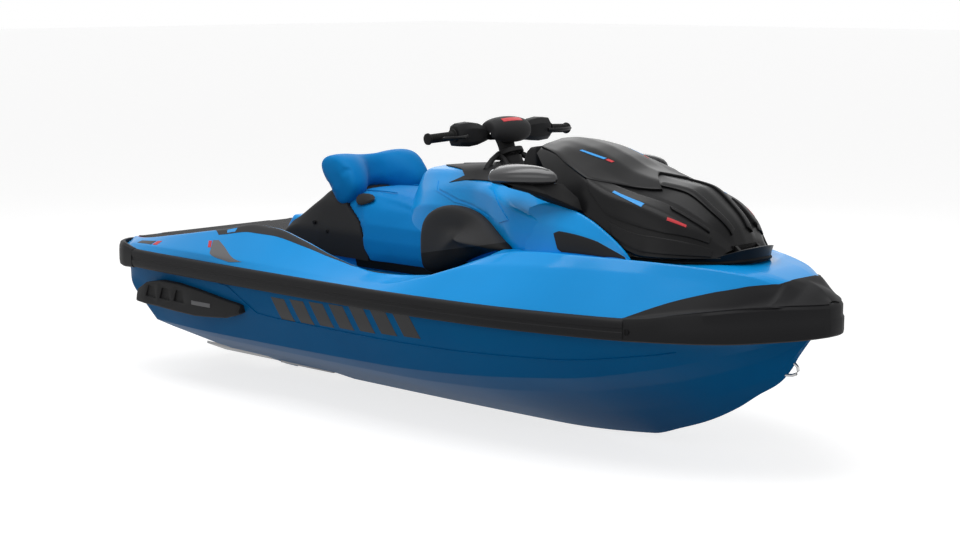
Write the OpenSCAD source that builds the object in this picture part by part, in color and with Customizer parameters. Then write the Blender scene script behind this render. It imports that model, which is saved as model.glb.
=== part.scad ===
// Personal watercraft: single-rider performance runabout with a water-jet drive.
// +X points to the bow, +Y to port, +Z up. The origin is on the centreline at the
// waterline, half way along the craft. All sizes are in millimetres.

/* [Overall] */
// Length from the stern bumpers to the tip of the bow bumper
overall_length = 3318; // [2800:10:4000]
// Beam over the rub rails
overall_beam = 1255; // [1100:5:1500]
// Depth of the keel below the waterline
draft = 262; // [250:1:300]

/* [Rub rail] */
// Height of the rail's lower edge above the waterline
rail_low = 200; // [180:5:205]
// Height of the rub rail
rail_height = 74; // [60:1:80]
// Thickness of the rub rail
rail_thick = 26; // [16:1:36]

/* [Water-jet drive] */
// Radius of the impeller
impeller_r = 77; // [60:0.5:80]
// Running gap between the impeller's tips and the pump wall
impeller_gap = 1; // [0.5:0.1:2]
// Wall of the pump housing
pump_wall = 12; // [8:1:16]
// Length of the straight part of the pump housing
pump_length = 285; // [240:5:330]
// Radius of the drive shaft
shaft_r = 14; // [10:1:18]
// Height of the shaft line below the waterline
shaft_drop = 112; // [105:1:118]
// Inner radius of the steering nozzle's outlet
nozzle_r = 40; // [34:1:48]
// Steering nozzle's length behind its pivot
nozzle_length = 100; // [80:1:120]

/* [Engine] */
// Length of the engine block
engine_length = 640; // [500:10:780]
// Width of the engine block
engine_width = 360; // [300:5:380]
// Height of the engine block
engine_height = 330; // [260:5:370]

/* [Steering] */
// Width over the handlebar's grips
bar_width = 776; // [640:4:940]
// Radius of the handlebar tube
bar_r = 11; // [9:0.5:13]
// Radius of the grips
grip_r = 17; // [14:0.5:20.5]
// Lean of the steering axis towards the rider, in degrees
steer_lean = 24; // [15:1:32]
// Distance from the steering base to the handlebar, along the axis
riser_length = 112; // [95:1:135]

/* [Storage bin] */
// Wall of the front storage bin
bin_wall = 4; // [3:0.5:8]
// Length of the front storage bin
bin_length = 450; // [350:5:480]
// Width of the front storage bin
bin_width = 340; // [260:5:380]

/* [Fit] */
// Gap left between two mouldings that are bonded or bolted together
seam = 0.6; // [0.4:0.1:0.9]
// Gap left round a cushion
cushion_gap = 0.3; // [0.2:0.1:0.6]
// Radial running clearance of a pivot pin
pivot_gap = 0.05; // [0.02:0.01:0.1]

/* [Hidden] */
$fn = 48;

kx = overall_length / 3318;
ky = overall_beam / 1255;
kz = draft / 262;
rail_top = rail_low + rail_height;
bond = rail_low + rail_height / 2;
top = 440;
back = -1630 * kx;
front = 1630 * kx;
end_wall = overall_length / 2 - front - seam;

// ---- curves: smooth values between a few knots [place, value], never overshooting
function rise(t, i) = (t[i + 1][1] - t[i][1]) / (t[i + 1][0] - t[i][0]);
function bend(t, i) = i == 0 ? rise(t, 0) : i == len(t) - 1 ? rise(t, i - 1)
    : let (a = rise(t, i - 1), b = rise(t, i)) a * b <= 0 ? 0 : 2 * a * b / (a + b);
function spot(t, x, i = 0) = i >= len(t) - 2 || x <= t[i + 1][0] ? i : spot(t, x, i + 1);
function curve(t, x) = let (i = spot(t, x), h = t[i + 1][0] - t[i][0],
    u = min(1, max(0, (x - t[i][0]) / h)))
    t[i][1] * (1 + 2 * u) * (1 - u) * (1 - u) + h * bend(t, i) * u * (1 - u) * (1 - u)
    + t[i + 1][1] * u * u * (3 - 2 * u) + h * bend(t, i + 1) * u * u * (u - 1);
// The whole ring from its port half, listed from the centreline round to the centreline
function sym(h) = concat(h, [for (i = [len(h) - 1 : -1 : 1]) if (h[i][1] > 0) [h[i][0], -h[i][1], h[i][2]]]);
function scaled(h) = [for (p = h) [p[0] * kx, p[1] * ky, p[2]]];

// A closed body through rings of points, each ring one cross-section
module skin(rings) {
    n = len(rings[0]);
    m = len(rings);
    polyhedron(
        points = [for (r = rings) for (p = r) p],
        faces = concat(
            [[for (j = [n - 1 : -1 : 0]) j]],
            [[for (j = [0 : n - 1]) (m - 1) * n + j]],
            [for (i = [0 : m - 2]) for (j = [0 : n - 1]) let (a = i * n + j, b = i * n + (j + 1) % n, c = b + n, d = a + n)
                each (2 * j < n ? [[a, b, c], [a, c, d]] : [[b, c, d], [b, d, a]])]));
}
// A side profile in X and Z pushed through from -w to w
module slab(outline, w) { rotate([90, 0, 0]) translate([0, 0, -w]) linear_extrude(2 * w) polygon(outline); }
module flip() { mirror([0, 1, 0]) children(); }
// A block from one corner to the other
module span(a, b) { translate(a) cube(b - a); }
// A round bar between two points on the X, Y or Z axis
module rod_y(p, r, l) { translate(p) rotate([-90, 0, 0]) cylinder(r = r, h = l); }
module rod_x(p, r, l) { translate(p) rotate([0, 90, 0]) cylinder(r = r, h = l); }

// ---- plan of the hull and deck edge, inside the rub rail
EDGE = [[-1630, 455], [-1600, 498], [-1500, 548], [-1200, 573], [-600, 593], [0, 600.9],
    [500, 573], [1000, 474], [1300, 345], [1500, 205], [1590, 115], [1622, 58], [1630, 30]];
function edge(x) = curve(EDGE, x) * ky + (26.6 * ky - rail_thick - seam);
STATIONS = [-1600, -1500, -1400, -1250, -1130, -1060, -1000, -900, -800, -700, -600, -450,
    -262, -150, 0, 150, 300, 400, 500, 620, 740, 870, 1000, 1100, 1200, 1300, 1400, 1450, 1500,
    1530, 1550, 1590, 1610, 1622, 1630];

// ---- hull: keel, strake, two chines, body crease, edge
KEEL = [[-1450, -250], [-925, -260], [-140, -262], [444, -259], [895, -227], [1020, -187],
    [1143, -140], [1262, -77], [1348, -18], [1433, 37], [1488, 103], [1520, 170], [1560, 212]];
CH2Y = [[-1450, 385], [-1000, 425], [0, 430], [400, 400], [800, 300], [1100, 190], [1300, 105], [1450, 45], [1560, 12]];
CH2Z = [[-1450, -75], [0, -78], [400, -70], [800, -40], [1100, 15], [1300, 75], [1450, 140], [1560, 217]];
CH3Y = [[-1450, 455], [-1000, 500], [0, 505], [400, 470], [800, 375], [1100, 255], [1300, 160], [1450, 75], [1560, 25]];
CH3Z = [[-1450, -40], [0, -25], [800, 22], [1100, 75], [1300, 130], [1450, 180], [1560, 222]];
CREY = [[-1450, 510], [-1000, 560], [0, 575], [400, 550], [800, 470], [1100, 350], [1300, 240], [1450, 135], [1560, 50]];
CREZ = [[-1450, 110], [0, 105], [800, 110], [1100, 140], [1300, 175], [1450, 198], [1560, 226]];
function sink(z) = z < 0 ? z * kz : z;
function rake(z) = -1425 - 0.667 * max(0, z + 70) * (1630 - 1425) / (0.667 * 307);
function hull_half(x, aft) = let (
    k = curve(KEEL, x), y2 = curve(CH2Y, x), z2 = curve(CH2Z, x))
    [for (p = [[0, k], [y2 * 0.5, k * 0.5 + z2 * 0.5 - 6], [y2, z2], [curve(CH3Y, x), curve(CH3Z, x)],
            [curve(CREY, x), curve(CREZ, x)]])
        [(aft ? rake(p[1]) : x) * kx, p[0] * ky, sink(p[1])]];
function hull_ring(x, aft = false) = let (e = aft ? -1630 : x,
    h = concat(hull_half(x, aft), [[e * kx, edge(e) - (aft ? 2 : 0), bond - seam / 2]]))
    sym(h);
HULL_X = [-1400, -1250, -1130, -1000, -800, -600, -262, 0, 300, 500, 740, 870, 1000, 1100, 1200, 1300, 1400, 1450, 1500, 1530, 1550];
module hull_form() { skin(concat([hull_ring(-1425, true)], [for (x = HULL_X) hull_ring(x)])); }

// ---- engine bay, jet tunnel and intake duct
shaft_z = -shaft_drop;
bay = [-360, 360];
engine_back = -engine_length / 2;
tunnel_front = -1140 * kx;
housing_r = impeller_r + impeller_gap + pump_wall;
pump_back = tunnel_front - seam - pump_length;
pivot_x = pump_back - 70;
tunnel_half = 102;
duct_half = 76;
module bay_cut() {
    span([engine_back - 40, -engine_width / 2 - 6, -149], [-engine_back + 40, engine_width / 2 + 6, bond + 5]);
}
module duct_cut() {
    slab([[tunnel_front - 1, shaft_z + 79], [tunnel_front - 1, shaft_z - 79], [-1060 * kx, -262 * kz],
        [-1060 * kx, -330], [-700 * kx, -330], [-700 * kx, -262 * kz], [-960 * kx, shaft_z + 79]], duct_half);
}
module hull() {
    color([0.07, 0.35, 0.66]) difference() {
        hull_form();
        bay_cut();
        duct_cut();
        rod_x([tunnel_front, 0, shaft_z], shaft_r + 5, engine_back - 39 - tunnel_front);
        span([back - 60, -tunnel_half, -330], [tunnel_front, tunnel_half, shaft_z + 108]);
        span([back - 60, -132, -330], [-1395 * kx, 132, 66]);
        bin_hole();
        eye_slots();
    }
}

// ---- deck: spine, footwells, gunwales
SPZ = [[-1630, 300], [-1060, 300], [-900, 440], [1260, 440], [1400, 430], [1514, 404], [1580, 360], [1622, 306], [1630, 300]];
SPY = [[-1630, 300], [-1060, 300], [-1000, 262], [-900, 205], [-262, 205], [0, 222], [300, 236], [500, 255], [1000, 230], [1200, 180], [1400, 110], [1514, 70], [1622, 20], [1630, 10]];
FIY = [[-1630, 310], [-1060, 310], [-1000, 275], [-900, 216], [-262, 216], [0, 232], [300, 246], [500, 290], [1000, 270], [1200, 215], [1400, 140], [1514, 95], [1622, 30], [1630, 16]];
FIZ = [[-1630, 298], [-1060, 298], [-1000, 266], [-900, 262], [250, 262], [350, 300], [500, 440], [1260, 440], [1400, 428], [1514, 400], [1622, 303], [1630, 297]];
FOY = [[-1630, 400], [-1500, 430], [-1060, 420], [-900, 400], [0, 395], [300, 385], [620, 370], [1000, 320], [1200, 250], [1400, 165], [1514, 110], [1622, 38], [1630, 20]];
FOZ = [[-1630, 298], [-1060, 298], [-1000, 266], [-900, 262], [250, 262], [350, 300], [500, 440], [1260, 440], [1400, 426], [1514, 396], [1622, 300], [1630, 294]];
CRY = [[-1630, 425], [-1500, 470], [-1200, 490], [-900, 470], [-770, 450], [-500, 460], [-50, 480], [240, 470], [450, 440], [600, 410], [800, 400], [1050, 330], [1200, 270], [1400, 185], [1514, 125], [1622, 44], [1630, 22]];
CRZ = [[-1630, 299], [-1500, 310], [-1250, 350], [-930, 397], [-770, 420], [-550, 390], [-300, 340], [-50, 313], [240, 335], [450, 410], [610, 450], [800, 460], [1050, 455], [1200, 446], [1400, 425], [1514, 386], [1622, 296], [1630, 290]];
OUY = [[-1630, 440], [-1500, 525], [-1200, 560], [-900, 577], [-400, 575], [-110, 572], [220, 545], [460, 485], [800, 440], [1050, 365], [1200, 298], [1400, 210], [1514, 148], [1622, 49], [1630, 25]];
OUZ = [[-1630, 288], [-1500, 292], [-1200, 300], [-900, 303], [-400, 296], [-110, 286], [50, 290], [220, 325], [460, 392], [800, 412], [1050, 412], [1200, 404], [1400, 386], [1514, 366], [1622, 290], [1630, 286]];
function deck_half(x) = [[0, curve(SPZ, x)], [curve(SPY, x), curve(SPZ, x)], [curve(FIY, x), curve(FIZ, x)],
    [curve(FOY, x), curve(FOZ, x)], [curve(CRY, x), curve(CRZ, x)], [curve(OUY, x), curve(OUZ, x)]];
function deck_ring(x) = let (h = concat([for (p = deck_half(x)) [x * kx, min(p[0] * ky, edge(x) - 1), p[1]]],
        [[x * kx, edge(x), rail_top], [x * kx, edge(x), bond + seam / 2]]))
    sym(h);
module deck_form() { skin([for (x = concat([-1630], STATIONS)) deck_ring(x)]); }
module deck() {
    color([0.05, 0.47, 0.80]) difference() {
        deck_form();
        bin_hole();
    }
}

// ---- a strip that follows the edge in plan: each ring is a list of [out, height]
function lean(p, i) = let (a = p[max(0, i - 1)], b = p[min(len(p) - 1, i + 1)], d = b - a) [d[1], -d[0]] / norm(d);
module strip(path, shapes) {
    skin([for (i = [0 : len(path) - 1]) [for (s = shapes[i])
        [path[i][0] + s[0] * lean(path, i)[0], path[i][1] + s[0] * lean(path, i)[1], s[1]]]]);
}
function edge_path(a, b) = [for (i = [len(STATIONS) - 1 : -1 : 0]) if (STATIONS[i] >= a && STATIONS[i] <= b)
    [STATIONS[i] * kx, edge(STATIONS[i]) + seam]];
RAIL = [[0, rail_low], [0, rail_top], [rail_thick - 6, rail_top], [rail_thick, rail_top - 10],
    [rail_thick, rail_low + 12], [rail_thick - 8, rail_low]];
module rub_rail_port() {
    path = edge_path(-1420, 1100);
    color([0.10, 0.10, 0.11]) strip(path, [for (p = path) RAIL]);
}
module rub_rail_starboard() { flip() rub_rail_port(); }

// ---- bow and stern bumpers
BTOP = [[1100, 276], [1136, 284], [1345, 348], [1507, 362], [1590, 345], [1622, 320], [1630, 312]];
function side_y(x, z) = let (d = deck_half(x)[5], f = min(1, max(0, (z - rail_top) / (d[1] - rail_top))))
    edge(x) + (d[0] * ky - edge(x)) * f;
module bow_bumper() {
    xs = concat([1106], [for (x = STATIONS) if (x > 1106) x]);
    m = len(xs);
    list = concat([for (i = [0 : m - 1]) [xs[i], -1]], [for (i = [m - 1 : -1 : 0]) [xs[i], 1]]);
    path = [for (q = list) [q[0] * kx + (q[0] == 1630 ? seam : 0), q[1] * (edge(q[0]) + (q[0] == 1630 ? 0 : seam))]];
    color([0.10, 0.10, 0.11]) skin([for (i = [0 : 2 * m - 1]) let (x = list[i][0], p = path[i], n = lean(path, i),
        z = max(rail_top + 1, curve(BTOP, x)), c = [p[0], list[i][1] * (side_y(x, z) + 2.5)],
        w = curve([[1100, rail_thick], [1630, end_wall]], x), low = curve([[1100, rail_low], [1630, rail_low + 22]], x))
        [for (q = [[p, low], [p, rail_top], [c, z], [c + 9 * n, z], [p + w * n, rail_top - 12], [p + w * n, rail_low + 30], [p + (w - 11) * n, low]])
            [q[0][0], q[0][1], q[1]]]]);
}
module stern_bumper_port() {
    path = concat([for (x = [-1426, -1500, -1600]) [x * kx, edge(x) + seam]],
        [[back - seam, edge(-1630) + seam], [back - seam, 330 * ky]]);
    w = end_wall;
    shape = [[0, rail_low - 6], [0, rail_top + 14], [w - 8, rail_top + 12], [w, rail_top], [w, rail_low + 8], [w - 8, rail_low - 6]];
    color([0.10, 0.10, 0.11]) strip(path, [for (p = path) shape]);
}
module stern_bumper_starboard() { flip() stern_bumper_port(); }

// ---- tank cover: the blue body ahead of the seat, with the steering axis through it
TKX = [-260, -216, -100, 38, 120, 200, 300, 400, 500, 640];
TKZ = [[-260, 583], [-216, 655], [38, 690], [200, 712], [300, 712], [400, 690], [500, 640], [640, 590]];
TKY = [[-260, 70], [-216, 90], [38, 112], [200, 112], [300, 130], [640, 160]];
TMY = [[-260, 150], [-216, 170], [38, 190], [200, 215], [300, 250], [400, 292], [500, 325], [640, 325]];
TMZ = [[-260, 520], [-216, 570], [38, 600], [200, 612], [300, 618], [400, 608], [500, 585], [640, 550]];
TSY = [[-260, 215], [-216, 235], [-60, 246], [300, 246], [400, 295], [500, 328], [640, 328]];
TSZ = [[-260, 470], [-60, 532], [300, 540], [400, 556], [500, 545], [640, 520]];
rider_plane = 246 * ky;
steer_foot = [196 * kx, 0, 700];
module along_steer() { translate(steer_foot) rotate([0, -steer_lean, 0]) children(); }
module mirror_stem(r) { translate([600 * kx, 322 * ky - 14, 500]) cylinder(r = r, h = 110); }
module tank_cover() {
    color([0.05, 0.47, 0.80]) difference() {
        skin([for (x = TKX) let (b = top + seam) scaled(sym([[x, 0, curve(TKZ, x)], [x, curve(TKY, x), curve(TKZ, x) - 4],
            [x, curve(TMY, x), curve(TMZ, x)], [x, curve(TSY, x), curve(TSZ, x)], [x, curve(TSY, x), b], [x, 0, b]]))]);
        along_steer() translate([0, 0, -60 - seam]) cylinder(r = 44 + seam, h = 140);
        for (s = [0, 1]) mirror([0, s, 0]) mirror_stem(16 + seam);
        span([330 * kx - seam, -90 - seam, 668 - seam], [400 * kx + seam, 90 + seam, 800]);
    }
}
KNEE = [[-40, 420], [-24, 500], [90, 528], [262, 500], [290, 452], [222, 440], [90, 350], [-4, 336]];
module knee_pad_port() {
    color([0.15, 0.16, 0.17]) translate([0, rider_plane + cushion_gap + 22, 0]) rotate([90, 0, 0])
        linear_extrude(22) polygon([for (p = KNEE) [p[0] * kx, p[1]]]);
}
module knee_pad_starboard() { flip() knee_pad_port(); }

// ---- seat: a black pedestal, the saddle over the spine and the raised bolster
SPLIT = [[-352, 240], [-352, 296], [-450, 418], [-560, 530], [-560, 800]];
SEAT_TOP = [[-640, 574], [-440, 574], [-310, 562], [-262, 580]];
function saddle_half(x) = let (g = cushion_gap, z = curve(SEAT_TOP, x)) [[x, 0, z],
    [x, curve([[-640, 150], [-420, 135], [-262, 90]], x), z - 6], [x, 198, curve([[-640, 520], [-420, 512], [-262, 500]], x)],
    [x, 244, 400], [x, 248, 292], [x, 226, 292], [x, 218.5, 292], [x, 206, top + g], [x, 0, top + g]];
module seat_saddle() {
    color([0.10, 0.40, 0.70]) intersection() {
        skin([for (x = [-600, -420, -310, -263]) scaled(sym(saddle_half(x)))]);
        slab(concat([[-200 * kx, 800], [-200 * kx, 240]], [for (p = SPLIT) [p[0] * kx, p[1]]]), 300 * ky);
    }
}
function between_stations(t, x) = let (lo = max([for (s = STATIONS) if (s <= x) s]), hi = min([for (s = STATIONS) if (s > x) s]))
    curve(t, lo) + (curve(t, hi) - curve(t, lo)) * (x - lo) / (hi - lo);
PED_TOP = [[-1055, 397], [-900, 462], [-640, 572], [-340, 574]];
function pedestal_half(x) = let (z = curve(PED_TOP, x), b = between_stations(SPZ, x) + seam, w = curve([[-1055, 60], [-900, 207]], x))
    x <= -900 ? [[x, 0, z], [x, w * 0.6, z - 5], [x, w * 0.9, (z * 0.4 + b * 0.6)], [x, w, b + 2], [x, w - 0.3, b + 1.4],
        [x, w - 0.6, b + 0.9], [x, w - 0.8, b + 0.4], [x, w - 1, b], [x, 0, b]]
    : let (o = x == -880 ? 3 : 0) [[x, 0, z], [x, curve([[-880, 125], [-800, 150]], x), z - 6], [x, 203, curve([[-880, 450], [-640, 520], [-340, 512]], x)],
        [x, 242, 400], [x, 246, 300], [x, 225 + o, 300], [x, 218.5 + o, 300], [x, 206 + o, top + seam + o / 6], [x, 0, top + seam + o / 6]];
module seat_pedestal() {
    color([0.12, 0.12, 0.13]) difference() {
        skin([for (x = [-1055, -1000, -950, -900, -880, -800, -640, -460, -340]) scaled(sym(pedestal_half(x)))]);
        slab(concat([[0, 800], [0, 240]], [for (p = SPLIT) [p[0] * kx - 2 * cushion_gap, p[1]]]), 300 * ky);
    }
}
BOLSTER = [[-620, 574], [-668, 640], [-640, 668], [-540, 700], [-400, 690], [-372, 668], [-452, 600], [-470, 574]];
module seat_bolster() {
    color([0.10, 0.40, 0.70]) skin([for (y = [-200, -170, -90, 0, 90, 170, 200]) let (u = y * y / 40000)
        [for (i = [7 : -1 : 0]) [(BOLSTER[i][0] + (i > 5 ? 40 * u : i > 0 ? 16 * u : -6 * u)) * kx, y * ky, BOLSTER[i][1] + cushion_gap]]]);
}

// ---- mats
module mat(z, plan) { translate([0, 0, z + cushion_gap]) linear_extrude(6) polygon([for (p = plan) [p[0] * kx, p[1] * ky]]); }
module rear_deck_mat() { color([0.16, 0.16, 0.17]) mat(300, [[-1600, -285], [-1070, -290], [-1070, 290], [-1600, 285]]); }
module footwell_mat_port() { color([0.16, 0.16, 0.17]) mat(262, [[-880, 256], [146, 256], [146, 378], [0, 385], [-880, 390]]); }
module footwell_mat_starboard() { flip() footwell_mat_port(); }

// ---- front storage: black tray round the bin, bin, hood on a hinge at the nose
bin_back = 1150 * kx - bin_length;
module bin_block(g, low, high) {
    w = bin_width / 2 + g;
    translate([0, 0, low - g]) linear_extrude(high - low + g) polygon([[bin_back - g, -w], [bin_back - g, w],
        [bin_back + bin_length * 0.7, w], [bin_back + bin_length + g, w * 0.75], [bin_back + bin_length + g, -w * 0.75], [bin_back + bin_length * 0.7, -w]]);
}
module bin_hole() { bin_block(seam, 90, 470); }
tray_top = top + seam + 10;
hinge_x = 1300 * kx;
hinge_z = tray_top + 22;
module hood_tray() {
    color([0.11, 0.11, 0.12]) {
        difference() {
            union() {
                translate([0, 0, top + seam]) linear_extrude(10) polygon([for (p = [[646, -240], [646, 240], [760, 262], [1000, 250], [1150, 200], [1258, 160],
                    [1258, -160], [1150, -200], [1000, -250], [760, -262]]) [p[0] * kx, p[1] * ky]]);
                slab([[1256 * kx, top + seam], [1256 * kx, tray_top], [1330 * kx, tray_top + 36], [1372 * kx, tray_top + 40], [1398 * kx, tray_top - 4], [1330 * kx, top + seam]], 92 * ky);
            }
            bin_hole();
            span([hinge_x - 70, -88, tray_top], [hinge_x + 26, 88, hinge_z + 60]);
        }
        for (s = [-60, 60], t = [-18, 8]) {
            rod_y([hinge_x, s + t, hinge_z], 12, 10);
            span([hinge_x - 10, s + t, tray_top - 4], [hinge_x + 10, s + t + 10, hinge_z]);
        }
        for (s = [-60, 60]) rod_y([hinge_x, s - 18, hinge_z], 5, 36);
    }
}
module storage_bin() {
    color([0.13, 0.13, 0.14]) difference() {
        bin_block(0, 90, tray_top);
        bin_block(-bin_wall, 90, tray_top + 30);
    }
}
HT = [[420, 804], [532, 821], [722, 803], [859, 754], [963, 719], [1081, 695], [1189, 624], [1262, 540], [1276, 502]];
HAY = [[420, 50], [550, 85], [740, 120], [963, 120], [1100, 100], [1276, 60]];
HSY = [[420, 95], [550, 158], [650, 205], [790, 250], [880, 262], [1060, 240], [1189, 190], [1276, 125]];
HSZ = [[420, 782], [550, 775], [650, 750], [790, 705], [880, 665], [1060, 610], [1189, 555], [1276, 490]];
HRY = [[420, 118], [550, 200], [650, 245], [790, 285], [880, 298], [1060, 290], [1189, 235], [1276, 150]];
HRZ = [[420, 762], [550, 700], [650, 655], [790, 590], [880, 530], [1060, 462], [1276, 459]];
function hood_half(x) = let (t = 10, zt = curve(HT, x), ys = curve(HSY, x), zs = curve(HSZ, x), yr = curve(HRY, x), zr = curve(HRZ, x),
    ya = curve(HAY, x), za = zt * 0.62 + zs * 0.38 + curve([[420, 0], [800, 8], [1100, 16], [1276, 0]], x), zm = (zs + zr) / 2)
    [[0, zt], [ya, za], [ys, zs], [yr, zm], [yr, zr], [yr - t, zr], [yr - t, max(zr + 2, zm - t)],
    [ys - t, max(zr + 3, zs - t * 1.6)], [ya, max(zr + 4, za - t * 1.4)], [0, max(zr + 5, zt - t * 1.4)]];
HDX = [420, 475, 550, 650, 722, 790, 880, 963, 1060, 1130, 1189, 1235, 1276];
// The lid is four bonded shells: a crown each side of the centreline and a cheek below each
module hood_crown_port() {
    color([0.13, 0.13, 0.14]) skin([for (x = HDX) let (h = hood_half(x)) [for (i = [0, 1, 2, 7, 8, 9])
        [x * kx, max(h[i][0] * ky, seam / 2), h[i][1]]]]);
}
module hood_crown_starboard() { flip() hood_crown_port(); }
module hood_cheek_port() {
    color([0.13, 0.13, 0.14]) skin([for (x = HDX) let (h = hood_half(x)) [for (i = [2 : 7]) [x * kx, h[i][0] * ky, h[i][1] - seam]]]);
}
module hood_cheek_starboard() { flip() hood_cheek_port(); }
module hood_hinge() {
    x0 = 1276 * kx + seam;
    color([0.2, 0.2, 0.21]) difference() {
        union() {
            span([x0, -75, 482], [x0 + 6, 75, 499]);
            for (s = [-60, 60]) {
                rod_y([hinge_x, s - 7, hinge_z], 11, 14);
                translate([0, s, 0]) slab([[x0 + 2, 484], [x0 + 3, 497], [x0 + 8, 497], [hinge_x + 6, hinge_z + 8], [hinge_x - 8, hinge_z - 6]], 6.5);
            }
        }
        rod_y([hinge_x, -100, hinge_z], 5 + pivot_gap, 200);
    }
}

// ---- side vents and mirrors
module side_vent_port() {
    color([0.09, 0.09, 0.10]) translate([0, 0, top + seam]) linear_extrude(16) polygon([for (p = [[700, 288], [745, 340], [930, 314], [1010, 278], [1000, 262], [760, 277]]) [p[0] * kx, p[1] * ky]]);
}
module side_vent_starboard() { flip() side_vent_port(); }
MIR = [[440, 46, 44, 672], [520, 50, 52, 664], [620, 44, 50, 660], [700, 30, 40, 664], [760, 12, 20, 672]];
mirror_y = 352 * ky;
module mirror_port() {
    color([0.12, 0.12, 0.13]) union() {
        skin([for (m = MIR) [for (a = [324 : -36 : 0]) [m[0] * kx, mirror_y + m[1] * cos(a), m[3] + m[2] * sin(a)]]]);
        difference() { mirror_stem(16); span([300 * kx, 0, 400], [900 * kx, 900, 500 + seam]); }
        translate([600 * kx, 322 * ky - 14, 590]) cylinder(r = 22, h = 60);
    }
}
module mirror_starboard() { flip() mirror_port(); }
module mirror_glass_port() {
    color([0.7, 0.75, 0.8]) translate([440 * kx - seam - 4, mirror_y, 672]) rotate([0, 90, 0]) scale([0.84, 0.84, 1]) cylinder(r = 46, h = 4);
}
module mirror_glass_starboard() { flip() mirror_glass_port(); }

// ---- gauge
module gauge_shroud() {
    color([0.10, 0.10, 0.11]) slab([[330 * kx, 668], [330 * kx, 735], [352 * kx, 776], [400 * kx, 786], [400 * kx, 668]], 90);
}
module gauge_display() {
    color([0.05, 0.06, 0.08]) slab([[325.5 * kx, 737.5], [329.5 * kx, 735.5], [351 * kx, 775], [347 * kx, 777]], 72);
}

// ---- steering: base on the cover, riser, handlebar, grips, pods, levers and pad
column_r = 17;
module steering_base() {
    color([0.14, 0.14, 0.15]) along_steer() difference() {
        translate([0, 0, -60]) cylinder(r = 44, h = 84);
        translate([0, 0, -100]) cylinder(r = column_r + pivot_gap, h = 200);
    }
}
function bar_at(y) = let (u = y / (bar_width / 2)) [curve([[0, 150], [0.5, 147], [1, 132]], u) + (steer_foot[0] - 196), y, curve([[0, 802], [0.22, 802], [0.5, 822], [1, 813]], u) + (riser_length - 112) * cos(steer_lean)];
bar_mid = steer_foot + riser_length * [-sin(steer_lean), 0, cos(steer_lean)];
bar_a = bar_mid + [-2, 96, 0];
bar_b = bar_mid + [-4, bar_width * 0.26, 20];
bar_c = bar_mid + [-20, bar_width / 2 - 2, 11];
elbow_r = bar_r + 0.8;
module between(a, b) { d = b - a; translate(a) rotate([0, acos(d[2] / norm(d)), atan2(d[1], d[0])]) children(); }
module bar(a, b, r) { between(a, b) cylinder(r = r, h = norm(b - a)); }
module clamp_block(g) { along_steer() translate([-20 - g, -34 - g, riser_length - 18 - g]) cube([40 + 2 * g, 68 + 2 * g, 36 + 2 * g]); }
module steering_riser() {
    color([0.14, 0.14, 0.15]) difference() {
        union() {
            along_steer() translate([0, 0, -52]) cylinder(r = column_r, h = riser_length + 40);
            along_steer() translate([0, 0, 30]) cylinder(r1 = 40, r2 = 26, h = riser_length - 52);
            clamp_block(0);
        }
        bar(bar_mid - [0, 60, 0], bar_mid + [0, 60, 0], bar_r + 0.3);
    }
}
module handlebar() {
    color([0.10, 0.10, 0.11]) union() {
        bar([bar_mid[0], -96, bar_mid[2]], bar_mid + [0, 96, 0], bar_r);
        for (s = [0, 1]) mirror([0, s, 0]) {
            translate(bar_mid + [0, 96, 0]) sphere(r = bar_r + 0.8);
            bar(bar_mid + [0, 96, 0], bar_b, bar_r);
            translate(bar_b) sphere(r = bar_r + 0.8);
            bar(bar_b, bar_c, bar_r);
        }
    }
}
grip_length = bar_width * 0.165;
module on_bar(s) { between(bar_c, bar_b) translate([0, 0, s]) children(); }
module grip_port() {
    color([0.08, 0.08, 0.08]) on_bar(-2) difference() {
        union() {
            cylinder(r = grip_r, h = grip_length);
            translate([0, 0, grip_length - 6]) cylinder(r = grip_r + 9, h = 6);
            cylinder(r = grip_r + 5, h = 7);
        }
        translate([0, 0, 1.4]) cylinder(r = bar_r + 0.3, h = grip_length);
    }
}
module grip_starboard() { flip() grip_port(); }
module control_pod_port() {
    color([0.09, 0.09, 0.10]) on_bar(grip_length - 2 + seam) difference() {
        translate([-24, -30, 0]) cube([50, 58, 46]);
        translate([0, 0, -1]) cylinder(r = bar_r + 0.3, h = 60);
    }
}
module control_pod_starboard() { flip() control_pod_port(); }
pod_y = bar_width / 2 - 2 - grip_length;
lever_x = bar_mid[0] - 8 + 28 + 2.5;
module lever() {
    translate([0, 0, bar_mid[2] + 8]) linear_extrude(14) polygon([[lever_x, pod_y - 8], [lever_x, pod_y - 34], [lever_x + 18, pod_y - 34],
        [lever_x + 30, pod_y - 4], [lever_x + 24, pod_y + 96], [lever_x + 14, pod_y + 98], [lever_x + 18, pod_y + 2]]);
}
module brake_lever() { color([0.12, 0.12, 0.13]) lever(); }
module throttle_lever() { color([0.12, 0.12, 0.13]) flip() lever(); }
module steering_pad() {
    color([0.10, 0.10, 0.11]) along_steer() translate([0, 0, riser_length]) slab([[-38, 18 + seam], [-44, 40], [0, 60], [66, 57], [76, 36], [50, 18 + seam]], 70);
}

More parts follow.
